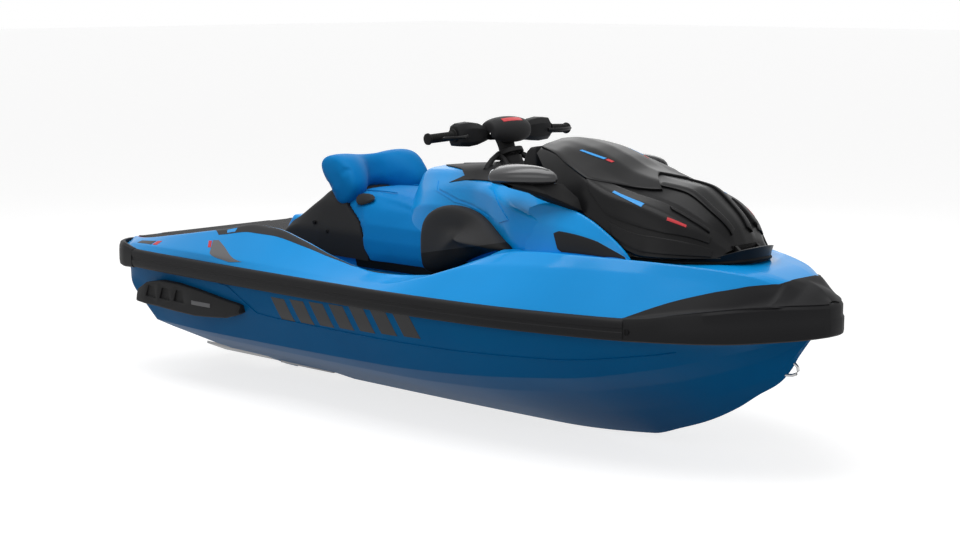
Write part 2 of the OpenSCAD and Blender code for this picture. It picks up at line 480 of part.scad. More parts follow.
// ---- sponsons, ride plate and intake grate
function hull_y(x, z) = let (a = [curve(CH3Y, x) * ky, sink(curve(CH3Z, x))], b = [curve(CREY, x) * ky, curve(CREZ, x)], c = [edge(x), bond - seam / 2])
    z < b[1] ? a[0] + (b[0] - a[0]) * (z - a[1]) / (b[1] - a[1]) : b[0] + (c[0] - b[0]) * (z - b[1]) / (c[1] - b[1]);
module sponson_port() {
    color([0.10, 0.10, 0.11]) skin([for (s = [[-1400, 60, 118], [-1250, 56, 165], [-1130, 50, 165], [-1000, 44, 155], [-800, 60, 130], [-720, 88, 122]])
        let (x = s[0], c = curve(CREZ, x), g = 1.0, t = 34)
        [for (p = [[hull_y(x, s[1]) + g, s[1]], [hull_y(x, c) + g, c], [hull_y(x, s[2]) + g, s[2]],
            [hull_y(x, s[2]) + t - 8, s[2]], [hull_y(x, c) + t, c - 2], [hull_y(x, c) + t - 6, s[1]]]) [x * kx, p[0], p[1]]]]);
}
module sponson_starboard() { flip() sponson_port(); }
module ride_plate() {
    w = tunnel_half - seam;
    color([0.13, 0.13, 0.14]) translate([-1560 * kx, 0, 0]) rotate([90, 0, 90]) linear_extrude(1560 * kx + tunnel_front - seam)
        polygon([[-w, -207 * kz], [0, -250 * kz], [w, -207 * kz], [w, -207 * kz + 11], [0, -250 * kz + 11], [-w, -207 * kz + 11]]);
}
module intake_grate() {
    w = duct_half - seam;
    color([0.4, 0.42, 0.44]) difference() {
        span([-1085 * kx, -w, -232 * kz], [-750 * kx, w, -232 * kz + 10]);
        for (i = [-2 : 2]) span([-1065 * kx, i * 29 - 10, -260 * kz], [-770 * kx, i * 29 + 10, -200 * kz]);
    }
}

// ---- water-jet drive
module turned(x, outline) { translate([x, 0, shaft_z]) rotate([0, 90, 0]) rotate_extrude() polygon([for (p = outline) [p[1], p[0]]]); }
in_r = impeller_r + impeller_gap;
tip_r = nozzle_r + 2;
module pump_housing() {
    color([0.62, 0.64, 0.66]) difference() {
        union() {
            turned(pump_back, [[-77, tip_r - 6], [-77, tip_r], [-36, tip_r], [0, housing_r], [pump_length - 12, housing_r], [pump_length - 12, housing_r + 8],
                [pump_length, housing_r + 8], [pump_length, in_r], [0, in_r], [-36, tip_r - 6]]);
            turned(pump_back, [[-20, 0], [-20, 10], [10, 30], [110, 30], [110, 0]]);
            translate([pump_back, 0, shaft_z]) for (a = [45 : 90 : 315]) rotate([a, 0, 0]) span([20, -4, 26], [100, 4, in_r + 3]);
            for (s = [-1, 1]) {
                span([pivot_x - 13, -12, shaft_z + s * (tip_r + 35) - 5], [pump_back + 14, 12, shaft_z + s * (tip_r + 35) + 5]);
                translate([pivot_x, 0, shaft_z + s * (tip_r + 26) - 9]) cylinder(r = 6, h = 18);
                span([pivot_x - 15, s * (tip_r + 46) - 4, shaft_z - 15], [pump_back + 14, s * (tip_r + 46) + 4, shaft_z + 15]);
                span([pump_back + 1, s > 0 ? in_r + 4 : -tip_r - 50, shaft_z - 15], [pump_back + 14, s > 0 ? tip_r + 50 : -in_r - 4, shaft_z + 15]);
                rod_y([pivot_x, s * (tip_r + 54) - 10, shaft_z], 7, 20);
            }
        }
        rod_x([pump_back + 24, 0, shaft_z], shaft_r + pivot_gap, 100);
        rod_x([pump_back + 1, 0, shaft_z], shaft_r * 0.4, 30);
    }
}
module impeller() {
    color([0.72, 0.72, 0.70]) translate([pump_back + 126, 0, shaft_z]) difference() {
        union() {
            rod_x([0, 0, 0], 30, 84);
            for (a = [0, 90, 180, 270]) skin([for (i = [0 : 8]) let (b = a + i * 9)
                [for (p = [[27, 3], [impeller_r * 0.998, 2], [impeller_r * 0.998, -2], [27, -3]]) [4 + i * 9.5, p[0] * cos(b) - p[1] * sin(b), p[0] * sin(b) + p[1] * cos(b)]]]);
        }
        rod_x([-5, 0, 0], shaft_r + 0.3, 100);
    }
}
module drive_shaft() {
    color([0.75, 0.76, 0.78]) rod_x([pump_back + 34, 0, shaft_z], shaft_r, engine_back + 30 - pump_back - 34);
}
module steering_nozzle() {
    color([0.60, 0.62, 0.64]) difference() {
        turned(pivot_x, [[12, tip_r + 16], [12, tip_r + 24], [-20, tip_r + 24], [-nozzle_length, nozzle_r + 7], [-nozzle_length, nozzle_r], [-20, tip_r + 16]]);
        translate([pivot_x, 0, shaft_z - 120]) cylinder(r = 6 + pivot_gap, h = 240);
    }
}
module reverse_bucket() {
    r = nozzle_length + 28;
    w = tip_r + 60;
    color([0.13, 0.13, 0.14]) difference() {
        union() {
            slab([for (p = concat([for (a = [40 : 8 : 104]) [r, a]], [for (a = [104 : -8 : 40]) [r + 8, a]])) [pivot_x - p[0] * cos(p[1]), shaft_z + p[0] * sin(p[1])]], w);
            for (s = [0, 1]) mirror([0, s, 0]) translate([0, w - 3.5, 0])
                slab([[pivot_x + 16, shaft_z - 6], [pivot_x - 2, shaft_z - 17], [pivot_x - 18, shaft_z - 4], [pivot_x - (r + 4) * cos(40), shaft_z + (r + 4) * sin(40)],
                    [pivot_x - (r + 4) * cos(72), shaft_z + (r + 4) * sin(72)], [pivot_x - (r + 4) * cos(104), shaft_z + (r + 4) * sin(104)]], 3.5);
        }
        rod_y([pivot_x, -200, shaft_z], 7 + pivot_gap, 400);
    }
}
module engine_block() {
    color([0.35, 0.36, 0.38]) difference() {
        span([engine_back, -engine_width / 2, -149 + seam], [-engine_back, engine_width / 2, -149 + seam + engine_height]);
        rod_x([engine_back - 1, 0, shaft_z], shaft_r + pivot_gap, 36);
    }
}

// ---- towing and tie-down eyes
module eye_slots() {
    span([1440 * kx - seam, -6 - seam, 62 - seam], [1620 * kx, 6 + seam, 118 + seam]);
    for (s = [-1, 1]) span([-1700 * kx, s * 350 * ky - 6 - seam, 108 - seam], [-1500 * kx + seam, s * 350 * ky + 6 + seam, 148 + seam]);
}
module bow_eye() {
    color([0.75, 0.76, 0.78]) difference() {
        slab([[1440 * kx, 62], [1440 * kx, 118], [1505 * kx, 118], [1526 * kx, 102], [1526 * kx, 76], [1505 * kx, 62]], 6);
        rod_y([1505 * kx, -20, 90], 9, 40);
    }
}
module stern_eye_port() {
    color([0.75, 0.76, 0.78]) translate([0, 350 * ky, 0]) difference() {
        slab([[-1500 * kx, 108], [-1500 * kx, 148], [-1600 * kx, 148], [-1616 * kx, 138], [-1616 * kx, 118], [-1600 * kx, 108]], 6);
        rod_y([-1596 * kx, -20, 128], 9, 40);
    }
}
module stern_eye_starboard() { flip() stern_eye_port(); }

hull();
deck();
rub_rail_port();
rub_rail_starboard();
bow_bumper();
stern_bumper_port();
stern_bumper_starboard();
tank_cover();
knee_pad_port();
knee_pad_starboard();
seat_pedestal();
seat_saddle();
seat_bolster();
rear_deck_mat();
footwell_mat_port();
footwell_mat_starboard();
hood_tray();
storage_bin();
hood_crown_port();
hood_crown_starboard();
hood_cheek_port();
hood_cheek_starboard();
hood_hinge();
side_vent_port();
side_vent_starboard();
mirror_port();
mirror_starboard();
mirror_glass_port();
mirror_glass_starboard();
gauge_shroud();
gauge_display();
steering_base();
steering_riser();
handlebar();
grip_port();
grip_starboard();
control_pod_port();
control_pod_starboard();
throttle_lever();
brake_lever();
steering_pad();
sponson_port();
sponson_starboard();
ride_plate();
intake_grate();
pump_housing();
impeller();
drive_shaft();
steering_nozzle();
reverse_bucket();
engine_block();
bow_eye();
stern_eye_port();
stern_eye_starboard();
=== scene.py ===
"""Personal watercraft: the looks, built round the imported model.

Lengths in the tables are millimetres, with X to the bow, Y to port and Z up from the
centreline at the waterline. The meshes are made in metres.
"""

import logging
import math
from dataclasses import dataclass, field
from enum import Enum
from typing import Any, Callable, Iterable, Sequence

import bmesh
import bpy
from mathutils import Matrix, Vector


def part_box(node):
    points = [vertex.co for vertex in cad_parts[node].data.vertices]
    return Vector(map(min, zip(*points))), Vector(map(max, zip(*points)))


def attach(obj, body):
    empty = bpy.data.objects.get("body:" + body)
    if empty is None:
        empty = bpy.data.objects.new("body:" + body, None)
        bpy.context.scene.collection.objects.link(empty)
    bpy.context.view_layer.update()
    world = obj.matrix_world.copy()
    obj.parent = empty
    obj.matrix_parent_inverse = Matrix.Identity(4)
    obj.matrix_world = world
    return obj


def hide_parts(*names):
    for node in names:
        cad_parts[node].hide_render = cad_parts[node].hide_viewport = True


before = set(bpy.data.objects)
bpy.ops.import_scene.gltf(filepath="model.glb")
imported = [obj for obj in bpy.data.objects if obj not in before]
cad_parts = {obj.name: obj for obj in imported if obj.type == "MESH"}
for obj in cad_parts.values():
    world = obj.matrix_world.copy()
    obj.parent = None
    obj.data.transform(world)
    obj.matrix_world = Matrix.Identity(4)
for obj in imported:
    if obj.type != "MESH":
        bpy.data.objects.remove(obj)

Places = Sequence[tuple[float, float]]
Knots = Places
Table = tuple[tuple[float, ...], ...]
Grid = list[list[Vector]]
Tree = bpy.types.NodeTree
Node = bpy.types.Node
Socket = bpy.types.NodeSocket
Thing = bpy.types.Object

MM = 0.001
SMOOTH_ANGLE = math.radians(32)
LOG = logging.getLogger("watercraft")


class Side(Enum):
    """The two sides of the craft, with the sign of their Y."""

    PORT = 1
    STARBOARD = -1

    @property
    def tag(self) -> str:
        """The side's name as pieces carry it."""
        return self.name.lower()


# ---------------------------------------------------------------- finishes
def linear(colour: str) -> tuple[float, float, float, float]:
    """Turns an sRGB hex colour into the linear values that shaders take.

    Args:
        colour: Six hex digits.

    Returns:
        Linear red, green and blue, with full opacity.
    """
    parts = [int(colour[i:i + 2], 16) / 255 for i in (0, 2, 4)]
    red, green, blue = [c / 12.92 if c <= 0.04045 else ((c + 0.055) / 1.055) ** 2.4 for c in parts]
    return red, green, blue, 1.0


def per_mm(size: float) -> float:
    """Texture scale, in cells for each metre, for a pattern of this size in millimetres."""
    return 1 / (size * MM)


def add(tree: Tree, kind: str, values: dict[str, Any] | None = None,
        links: dict[str | int, Socket] | None = None, **settings: Any) -> Node:
    """Adds one shader node with its settings, socket values and links.

    Args:
        tree: The material's node tree.
        kind: The node's type name.
        values: Socket name to value.
        links: Socket name or number to the output that feeds it.
        **settings: Properties of the node itself.

    Returns:
        The new node.
    """
    made = tree.nodes.new(kind)
    for name, value in settings.items():
        setattr(made, name, value)
    for name, value in (values or {}).items():
        made.inputs[name].default_value = value
    for name, socket in (links or {}).items():
        tree.links.new(socket, made.inputs[name])
    return made


@dataclass(frozen=True)
class Finish:
    """What every finish has: its name, the record's slot, and its two near colours."""

    name: str
    slot: str
    colour: str
    shade: str
    roughness: float = 0.5
    shine: float = 0.3
    drift_mm: float = 420.0

    def shader_values(self) -> dict[str, Any]:
        """Values for the shader's own sockets."""
        return {"Roughness": self.roughness, "Specular IOR Level": self.shine}

    def relief(self, tree: Tree, place: Socket) -> Socket | None:
        """The bumpy normal of the surface, or None where it is plain."""
        return None

    def tint(self, tree: Tree, place: Socket) -> Socket:
        """The surface colour: two near shades that drift into each other."""
        drift = add(tree, "ShaderNodeTexNoise", {"Scale": per_mm(self.drift_mm), "Detail": 3.0},
                    {"Vector": place})
        ramp = add(tree, "ShaderNodeValToRGB", links={"Fac": drift.outputs["Fac"]})
        ramp.color_ramp.elements[0].position, ramp.color_ramp.elements[1].position = 0.3, 0.7
        ramp.color_ramp.elements[0].color = linear(self.shade)
        ramp.color_ramp.elements[1].color = linear(self.colour)
        return ramp.outputs["Color"]

    def material(self) -> bpy.types.Material:
        """Makes the material once and gives it back after that.

        Returns:
            The Blender material of this finish.
        """
        known = bpy.data.materials.get(self.name)
        if known:
            return known
        made = bpy.data.materials.new(self.name)
        made.use_nodes = True
        made.diffuse_color = linear(self.colour)
        tree = made.node_tree
        tree.nodes.clear()
        place = add(tree, "ShaderNodeTexCoord").outputs["Object"]
        links = {"Base Color": self.tint(tree, place)}
        normal = self.relief(tree, place)
        if normal:
            links["Normal"] = normal
        shader = add(tree, "ShaderNodeBsdfPrincipled", self.shader_values(), links)
        add(tree, "ShaderNodeOutputMaterial", links={"Surface": shader.outputs["BSDF"]})
        return made


@dataclass(frozen=True)
class SprayedGelcoat(Finish):
    """Gelcoat sprayed in a polished mould: deep gloss with a faint orange peel under it."""

    coat: float = 0.45
    peel_mm: float = 7.0
    peel_depth_mm: float = 0.05

    def shader_values(self) -> dict[str, Any]:
        """A soft base under a smooth clear coat, as polished gelcoat has."""
        return {**super().shader_values(), "Coat Weight": self.coat, "Coat Roughness": 0.12,
                "Coat IOR": 1.35}

    def relief(self, tree: Tree, place: Socket) -> Socket:
        """Orange peel, which bends the reflections a little."""
        peel = add(tree, "ShaderNodeTexNoise", {"Scale": per_mm(self.peel_mm), "Detail": 2.0},
                   {"Vector": place})
        bump = add(tree, "ShaderNodeBump", {"Strength": 0.5, "Distance": self.peel_depth_mm * MM},
                   {"Height": peel.outputs["Fac"]})
        return bump.outputs["Normal"]


@dataclass(frozen=True)
class GrainedMoulding(Finish):
    """Injection-moulded ABS or rubber: an etched grain that scatters the light."""

    grain_mm: float = 1.6
    depth_mm: float = 0.12
    coat: float = 0.0

    def shader_values(self) -> dict[str, Any]:
        """A dull plastic, with a thin gloss where the mould was polished."""
        return {**super().shader_values(), "Coat Weight": self.coat, "Coat Roughness": 0.22}

    def relief(self, tree: Tree, place: Socket) -> Socket:
        """Etched pebbles, drawn somewhat coarser than the real grain so that they show."""
        pebble = add(tree, "ShaderNodeTexVoronoi", {"Scale": per_mm(self.grain_mm)}, {"Vector": place})
        bump = add(tree, "ShaderNodeBump", {"Strength": 0.7, "Distance": self.depth_mm * MM},
                   {"Height": pebble.outputs["Distance"]})
        return bump.outputs["Normal"]


@dataclass(frozen=True)
class VinylOverFoam(Finish):
    """Marine vinyl: leather-like creases under a matte topcoat, so folds glow softly."""

    grain_mm: float = 2.4
    crease_mm: float = 9.0
    depth_mm: float = 0.25

    def shader_values(self) -> dict[str, Any]:
        """Matte skin with a light sheen at grazing angles."""
        return {**super().shader_values(), "Sheen Weight": 0.04, "Sheen Roughness": 0.4}

    def relief(self, tree: Tree, place: Socket) -> Socket:
        """Pressed grain with finer creases over it."""
        cells = add(tree, "ShaderNodeTexVoronoi", {"Scale": per_mm(self.grain_mm)}, {"Vector": place},
                    feature="F2")
        creases = add(tree, "ShaderNodeTexNoise", {"Scale": per_mm(self.crease_mm), "Detail": 4.0},
                      {"Vector": place})
        both = add(tree, "ShaderNodeMath", links={0: cells.outputs["Distance"], 1: creases.outputs["Fac"]},
                   operation="ADD")
        bump = add(tree, "ShaderNodeBump", {"Strength": 0.6, "Distance": self.depth_mm * MM},
                   {"Height": both.outputs["Value"]})
        return bump.outputs["Normal"]


@dataclass(frozen=True)
class RibbedMat(Finish):
    """Closed-cell foam mat, routed with grooves that give grip and dark lines."""

    pitch_mm: float = 14.0
    depth_mm: float = 1.6

    def shader_values(self) -> dict[str, Any]:
        """Dry foam, with next to no shine."""
        return {**super().shader_values(), "Diffuse Roughness": 0.6}

    def relief(self, tree: Tree, place: Socket) -> Socket:
        """Diagonal grooves at the real pitch, as the wave texture runs ten radians to a cell."""
        cell_mm = self.pitch_mm * 10 / (2 * math.pi)
        grooves = add(tree, "ShaderNodeTexWave", {"Scale": per_mm(cell_mm), "Distortion": 0.0},
                      {"Vector": place}, wave_type="BANDS", bands_direction="DIAGONAL")
        bump = add(tree, "ShaderNodeBump", {"Strength": 1.0, "Distance": self.depth_mm * MM},
                   {"Height": grooves.outputs["Fac"]})
        return bump.outputs["Normal"]


@dataclass(frozen=True)
class Metal(Finish):
    """Bare metal: cast skin, turned rings or beaded anodising, by the size of its marks."""

    mark_mm: float = 1.2
    depth_mm: float = 0.1
    stretch: tuple[float, float, float] = (1.0, 1.0, 1.0)

    def shader_values(self) -> dict[str, Any]:
        """Full metal with the roughness of its making."""
        return {"Metallic": 1.0, "Roughness": self.roughness}

    def relief(self, tree: Tree, place: Socket) -> Socket:
        """Marks of the mould, the lathe or the bead blast."""
        turned = add(tree, "ShaderNodeMapping", {"Scale": self.stretch}, {"Vector": place})
        marks = add(tree, "ShaderNodeTexNoise", {"Scale": per_mm(self.mark_mm), "Detail": 3.0},
                    {"Vector": turned.outputs["Vector"]})
        bump = add(tree, "ShaderNodeBump", {"Strength": 0.5, "Distance": self.depth_mm * MM},
                   {"Height": marks.outputs["Fac"]})
        return bump.outputs["Normal"]


# Deck paint: bright sky blue in full gloss.
DECK_BLUE = SprayedGelcoat("blue_deck_gelcoat", "deck_gelcoat", "0093de", "008cd4", 0.45, 0.10)
# Hull: the same gelcoat in a deeper blue, partly its own colour and partly painted shade, so the sides read
# darker under the rail.
HULL_BLUE_AND_SHADE = SprayedGelcoat("blue_hull_gelcoat_and_shade", "hull_gelcoat", "0066a0", "005f98", 0.5, 0.05, coat=0.05)
# Rails and bumpers: thermoplastic rubber extrusion, satin with a fine scuff.
RAIL_RUBBER = GrainedMoulding("satin_bumper_rubber", "bumper_rubber", "1c1c1d", "18181a", 0.55, 0.14,
                              grain_mm=2.0)
# Body trim: charcoal ABS with an etched grain.
TRIM_ABS = GrainedMoulding("grained_abs_trim", "black_moulding", "1f1f20", "1a1a1b", 0.6, 0.16)
# Painted shade: the same ABS, blacker, for trim in deep shade or under the craft.
SHADED_ABS = GrainedMoulding("abs_trim_painted_shade", "black_moulding", "0a0a0b", "080809", 0.62, 0.12)
# Hood: charcoal ABS with a clear topcoat, so its ridges catch long highlights.
HOOD_GLOSS = GrainedMoulding("lacquered_abs_hood", "gloss_black", "161617", "131314", 0.38, 0.09,
                             grain_mm=2.6, depth_mm=0.03, coat=0.09)
# Mirror cap: polished ABS, glossier than the hood.
MIRROR_GLOSS = GrainedMoulding("polished_abs_cap", "gloss_black", "2c2c2e", "29292b", 0.25, grain_mm=4.0,
                               depth_mm=0.01, coat=0.6)
# Seat: blue marine vinyl, matte.
SEAT_VINYL = VinylOverFoam("blue_seat_vinyl", "seat_vinyl", "007abe", "0073b4", 0.6, 0.10)
# Knee pads: charcoal marine vinyl.
PAD_VINYL = VinylOverFoam("charcoal_pad_vinyl", "pad_vinyl", "2a2a2b", "262627", 0.62, 0.12)
# Mats: foam with routed grooves.
DECK_FOAM = RibbedMat("grooved_foam_mat", "deck_mat", "2a2a2b", "232324", 0.85)
# Grips: soft moulded rubber, dull from handling.
GRIP_RUBBER = GrainedMoulding("moulded_grip_rubber", "grip_rubber", "101010", "0c0c0c", 0.62, 0.14,
                              grain_mm=3.2, depth_mm=0.5)
# Handlebar and hinge: powder-coated steel tube.
BLACK_TUBE = GrainedMoulding("powder_coated_tube", "black_tube", "111112", "0e0e0f", 0.45, 0.2, grain_mm=1.2,
                             depth_mm=0.05)
# Plain printed film for the stripes and bars, one finish for each colour.
BLACK_FILM = GrainedMoulding("black_printed_film", "black_moulding", "141518", "101114", 0.4, depth_mm=0.02)
GREY_FILM = GrainedMoulding("grey_printed_film", "black_moulding", "6a6a6c", "5f5f61", 0.5, depth_mm=0.02)
RED_FILM = GrainedMoulding("red_printed_film", "black_moulding", "c9323a", "bd2c34", 0.4, depth_mm=0.02)
BLUE_FILM = GrainedMoulding("blue_printed_film", "deck_gelcoat", "2f9be6", "2a93dc", 0.4, depth_mm=0.02)
# Jet drive: cast aluminium with its sand-cast skin.
CAST_ALLOY = Metal("cast_aluminium", "cast_alloy", "9a9b9d", "8b8c8e", 0.5, mark_mm=2.5, depth_mm=0.3)
# Intake grate: bead-blasted and anodised aluminium.
ANODISED = Metal("anodised_aluminium", "anodised", "8f9194", "86888b", 0.38, mark_mm=0.8, depth_mm=0.04)
# Eyes, shaft and impeller: turned stainless steel.
STAINLESS = Metal("turned_stainless_steel", "stainless", "b9b9b8", "aeaeae", 0.25, mark_mm=6.0,
                  depth_mm=0.02, stretch=(12.0, 1.0, 1.0))
# Mirror glass: silvered, so nearly perfect.
MIRROR_SILVER = Metal("silvered_mirror_glass", "mirror_glass", "e4e8ec", "dfe3e8", 0.04, mark_mm=300.0,
                      depth_mm=0.001)
# Display: dark panel under polished cover glass.
DISPLAY_GLASS = GrainedMoulding("dark_display_glass", "display_glass", "0b0e12", "090b0e", 0.12,
                                grain_mm=60.0, depth_mm=0.001, coat=1.0)
# Engine: grey enamel over cast aluminium.
ENGINE_ENAMEL = GrainedMoulding("grey_engine_enamel", "cast_alloy", "5a5c5f", "505255", 0.45, grain_mm=3.0)


# ---------------------------------------------------------------- curves and shells
def curve(knots: Knots, x: float) -> float:
    """A smooth value between knots that never overshoots them.

    Args:
        knots: Pairs of place and value, places rising.
        x: Where the value is wanted.

    Returns:
        The value at x, held level past both ends.
    """
    if x <= knots[0][0]:
        return knots[0][1]
    if x >= knots[-1][0]:
        return knots[-1][1]
    i = max(n for n in range(len(knots) - 1) if knots[n][0] <= x)

    def rise(n: int) -> float:
        """The straight slope after knot n."""
        return (knots[n + 1][1] - knots[n][1]) / (knots[n + 1][0] - knots[n][0])

    def bend(n: int) -> float:
        """The curve's slope at knot n, level where the knots turn back."""
        if n == 0:
            return rise(0)
        if n == len(knots) - 1:
            return rise(n - 1)
        before, after = rise(n - 1), rise(n)
        return 0.0 if before * after <= 0 else 2 * before * after / (before + after)

    h = knots[i + 1][0] - knots[i][0]
    u = (x - knots[i][0]) / h
    v = 1 - u
    return (knots[i][1] * (1 + 2 * u) * v * v + h * bend(i) * u * v * v
            + knots[i + 1][1] * u * u * (3 - 2 * u) - h * bend(i + 1) * u * u * v)


def spread(low: float, high: float, count: int) -> list[float]:
    """Evenly spaced values from low to high, both included."""
    return [low + (high - low) * i / (count - 1) for i in range(count)]


def in_runs(*runs: tuple[float, float, int]) -> list[float]:
    """Evenly spaced values in runs that share their ends.

    Args:
        *runs: The low end, the high end and the count of each run.

    Returns:
        The values of all the runs in one list.
    """
    found = spread(*runs[0])
    for run in runs[1:]:
        found += spread(*run)[1:]
    return found


def mix(a: Vector, b: Vector, t: float) -> Vector:
    """The point a share t of the way from a to b."""
    return a + (b - a) * t


def raised(line: Knots, by: float) -> Knots:
    """A line with the same amount added to each of its values."""
    return [(x, value + by) for x, value in line]


def scaled(outline: Places, centre: tuple[float, float], share: float) -> list[tuple[float, float]]:
    """An outline drawn larger or smaller about a centre."""
    return [(centre[0] + (a - centre[0]) * share, centre[1] + (b - centre[1]) * share) for a, b in outline]


def oval(wide: float, tall: float, power: float, count: int) -> list[tuple[float, float]]:
    """Points round an ellipse with these half widths, squarer the further its power is below 1."""
    turns = [2 * math.pi * n / count for n in range(count)]
    return [(wide * math.copysign(abs(math.cos(a)) ** power, math.cos(a)),
             tall * math.copysign(abs(math.sin(a)) ** power, math.sin(a))) for a in turns]


def flipped(points: Iterable[Vector]) -> list[Vector]:
    """The same points on the other side of the centreline."""
    return [Vector((p.x, -p.y, p.z)) for p in points]


def no_shift(x: float, up: float) -> float:
    """The shift of a shell whose sections stand upright."""
    return 0.0


@dataclass(frozen=True)
class Line:
    """One lengthwise line of a shell: how far out and up it runs, and how round its corner is."""

    out: Knots
    up: Knots
    ease: float = 0.0


@dataclass
class Shell:
    """A skin over lengthwise lines. A place on it is (x, s): s counts lines out from the centre.

    Between lines a section is straight; at a line it turns sharply or in an eased bend. Facing
    is 1 where the lines run down from the top, and -1 where they run up from the keel.
    """

    lines: list[Line]
    shift: Callable[[float, float], float] = no_shift
    facing: int = 1

    def corner(self, n: int, x: float) -> Vector:
        """Where line n crosses the section at x."""
        line = self.lines[n]
        up = curve(line.up, x)
        along = x + self.shift(x, up)
        return Vector((along, curve(line.out, along), up))

    def point(self, x: float, s: float) -> Vector:
        """The point at (x, s), in millimetres; a negative s lies to starboard."""
        reach = min(abs(s), len(self.lines) - 1)
        n = min(int(reach), len(self.lines) - 2)
        near = n if reach - n < 0.5 else n + 1
        ease = self.lines[near].ease if 0 < near < len(self.lines) - 1 else 0.0
        if abs(reach - near) < ease:
            before, at, after = (self.corner(near + k, x) for k in (-1, 0, 1))
            t = (reach - near + ease) / (2 * ease)
            start, end = mix(at, before, ease), mix(at, after, ease)
            found = start * (1 - t) ** 2 + at * 2 * t * (1 - t) + end * t * t
        else:
            found = mix(self.corner(n, x), self.corner(n + 1, x), reach - n)
        return Vector((found.x, found.y if s >= 0 else -found.y, found.z))

    def normal(self, x: float, s: float) -> Vector:
        """The outward direction at (x, s)."""
        step = 0.02
        across = self.point(x, s + step) - self.point(x, s - step)
        along = self.point(x + 2, s) - self.point(x - 2, s)
        found = along.cross(across)
        return found.normalized() * self.facing if found.length > 1e-9 else Vector((0, 0, 1))

    def places(self, bends: int = 4, flats: int = 3) -> list[float]:
        """Values of s that draw every eased bend and the flats between, with this many cells in each."""
        found: list[float] = []
        for n, line in enumerate(self.lines):
            inner = 0 < n < len(self.lines) - 1
            ease = line.ease if inner else 0.0
            found += spread(n - ease, n + ease, 2 * bends + 1) if ease else [float(n)]
            if n < len(self.lines) - 1:
                after = self.lines[n + 1].ease if n + 1 < len(self.lines) - 1 else 0.0
                found += spread(n + ease, n + 1 - after, flats + 2)[1:-1]
        return found

    def rows(self, xs: Iterable[float], ss: Sequence[float]) -> Grid:
        """Points for each x, from starboard round to port."""
        whole = [-s for s in reversed(ss) if s > 0] + list(ss)
        return [[self.point(x, s) for s in whole] for x in xs]


# ---------------------------------------------------------------- meshes
@dataclass
class Mesh:
    """Vertices in millimetres with their faces, on the way to becoming a piece."""

    points: list[Vector] = field(default_factory=list)
    faces: list[tuple[int, ...]] = field(default_factory=list)

    def grid(self, rows: Grid, ring: bool = False) -> "Mesh":
        """Adds a sheet through rows of points.

        Args:
            rows: Rows with the same number of points each.
            ring: Whether each row closes on itself.

        Returns:
            This mesh, so that calls can be chained.
        """
        start, wide = len(self.points), len(rows[0])
        for row in rows:
            self.points += row
        for i in range(len(rows) - 1):
            for j in range(wide if ring else wide - 1):
                a, b = start + i * wide + j, start + i * wide + (j + 1) % wide
                self.faces.append((a, b, b + wide, a + wide))
        return self

    def solid(self, rows: Grid) -> "Mesh":
        """Adds a closed body through rings of points, with a cap at each end."""
        start, wide = len(self.points), len(rows[0])
        self.grid(rows, ring=True)
        self.faces.append(tuple(range(start, start + wide)))
        self.faces.append(tuple(range(len(self.points) - wide, len(self.points))))
        return self

    def plate(self, outside: Grid, inside: Grid) -> "Mesh":
        """Adds a closed plate between an outer and an inner sheet of the same shape."""
        start = len(self.points)
        wide, tall = len(outside[0]), len(outside)
        self.grid(outside)
        self.grid(inside)
        rim = ([(0, j) for j in range(wide)] + [(i, wide - 1) for i in range(1, tall)]
               + [(tall - 1, j) for j in range(wide - 2, -1, -1)] + [(i, 0) for i in range(tall - 2, 0, -1)])
        for (i, j), (k, m) in zip(rim, rim[1:] + rim[:1]):
            a, b = start + i * wide + j, start + k * wide + m
            self.faces.append((a, b, b + wide * tall, a + wide * tall))
        return self

    def tube(self, path: Sequence[Vector], radii: Sequence[float], sides: int = 20) -> "Mesh":
        """Adds a round bar along a path, with a radius at each of its points."""
        rings: Grid = []
        for i, centre in enumerate(path):
            ahead = (path[min(i + 1, len(path) - 1)] - path[max(i - 1, 0)]).normalized()
            if ahead.length < 0.5:
                ahead = Vector((0, 1, 0))
            side = ahead.cross(Vector((0, 0, 1)) if abs(ahead.z) < 0.9 else Vector((1, 0, 0))).normalized()
            over = side.cross(ahead)
            rings.append([centre + (side * math.cos(a) + over * math.sin(a)) * radii[i]
                          for a in (2 * math.pi * k / sides for k in range(sides))])
        return self.solid(rings)

    def prism(self, outline: Sequence[Vector], push: Vector) -> "Mesh":
        """Adds a flat outline pushed along one direction."""
        return self.solid([list(outline), [p + push for p in outline]])

    def mirrored(self) -> "Mesh":
        """The same mesh on the other side of the centreline."""
        return Mesh(flipped(self.points), [tuple(reversed(f)) for f in self.faces])

    def join(self, other: "Mesh") -> "Mesh":
        """Adds another mesh to this one."""
        start = len(self.points)
        self.points += other.points
        self.faces += [tuple(i + start for i in f) for f in other.faces]
        return self

    def data(self, name: str, weld_mm: float = 0.02) -> bpy.types.Mesh:
        """Makes Blender's mesh in metres, welded and with its normals outward.

        Args:
            name: The mesh's name.
            weld_mm: Points nearer than this become one.

        Returns:
            The mesh data.
        """
        made = bpy.data.meshes.new(name)
        made.from_pydata([p * MM for p in self.points], [], self.faces)
        work = bmesh.new()
        work.from_mesh(made)
        bmesh.ops.remove_doubles(work, verts=work.verts, dist=weld_mm * MM)
        bmesh.ops.dissolve_degenerate(work, edges=work.edges, dist=weld_mm * MM / 2)
        bmesh.ops.recalc_face_normals(work, faces=work.faces)
        work.to_mesh(made)
        work.free()
        return made


def settle(thing: Thing) -> None:
    """Bakes an object's modifiers into its mesh.

    Args:
        thing: The object whose modifiers are applied.
    """
    ready = thing.evaluated_get(bpy.context.evaluated_depsgraph_get())
    old = thing.data
    thing.data = bpy.data.meshes.new_from_object(ready)
    thing.modifiers.clear()
    bpy.data.meshes.remove(old)


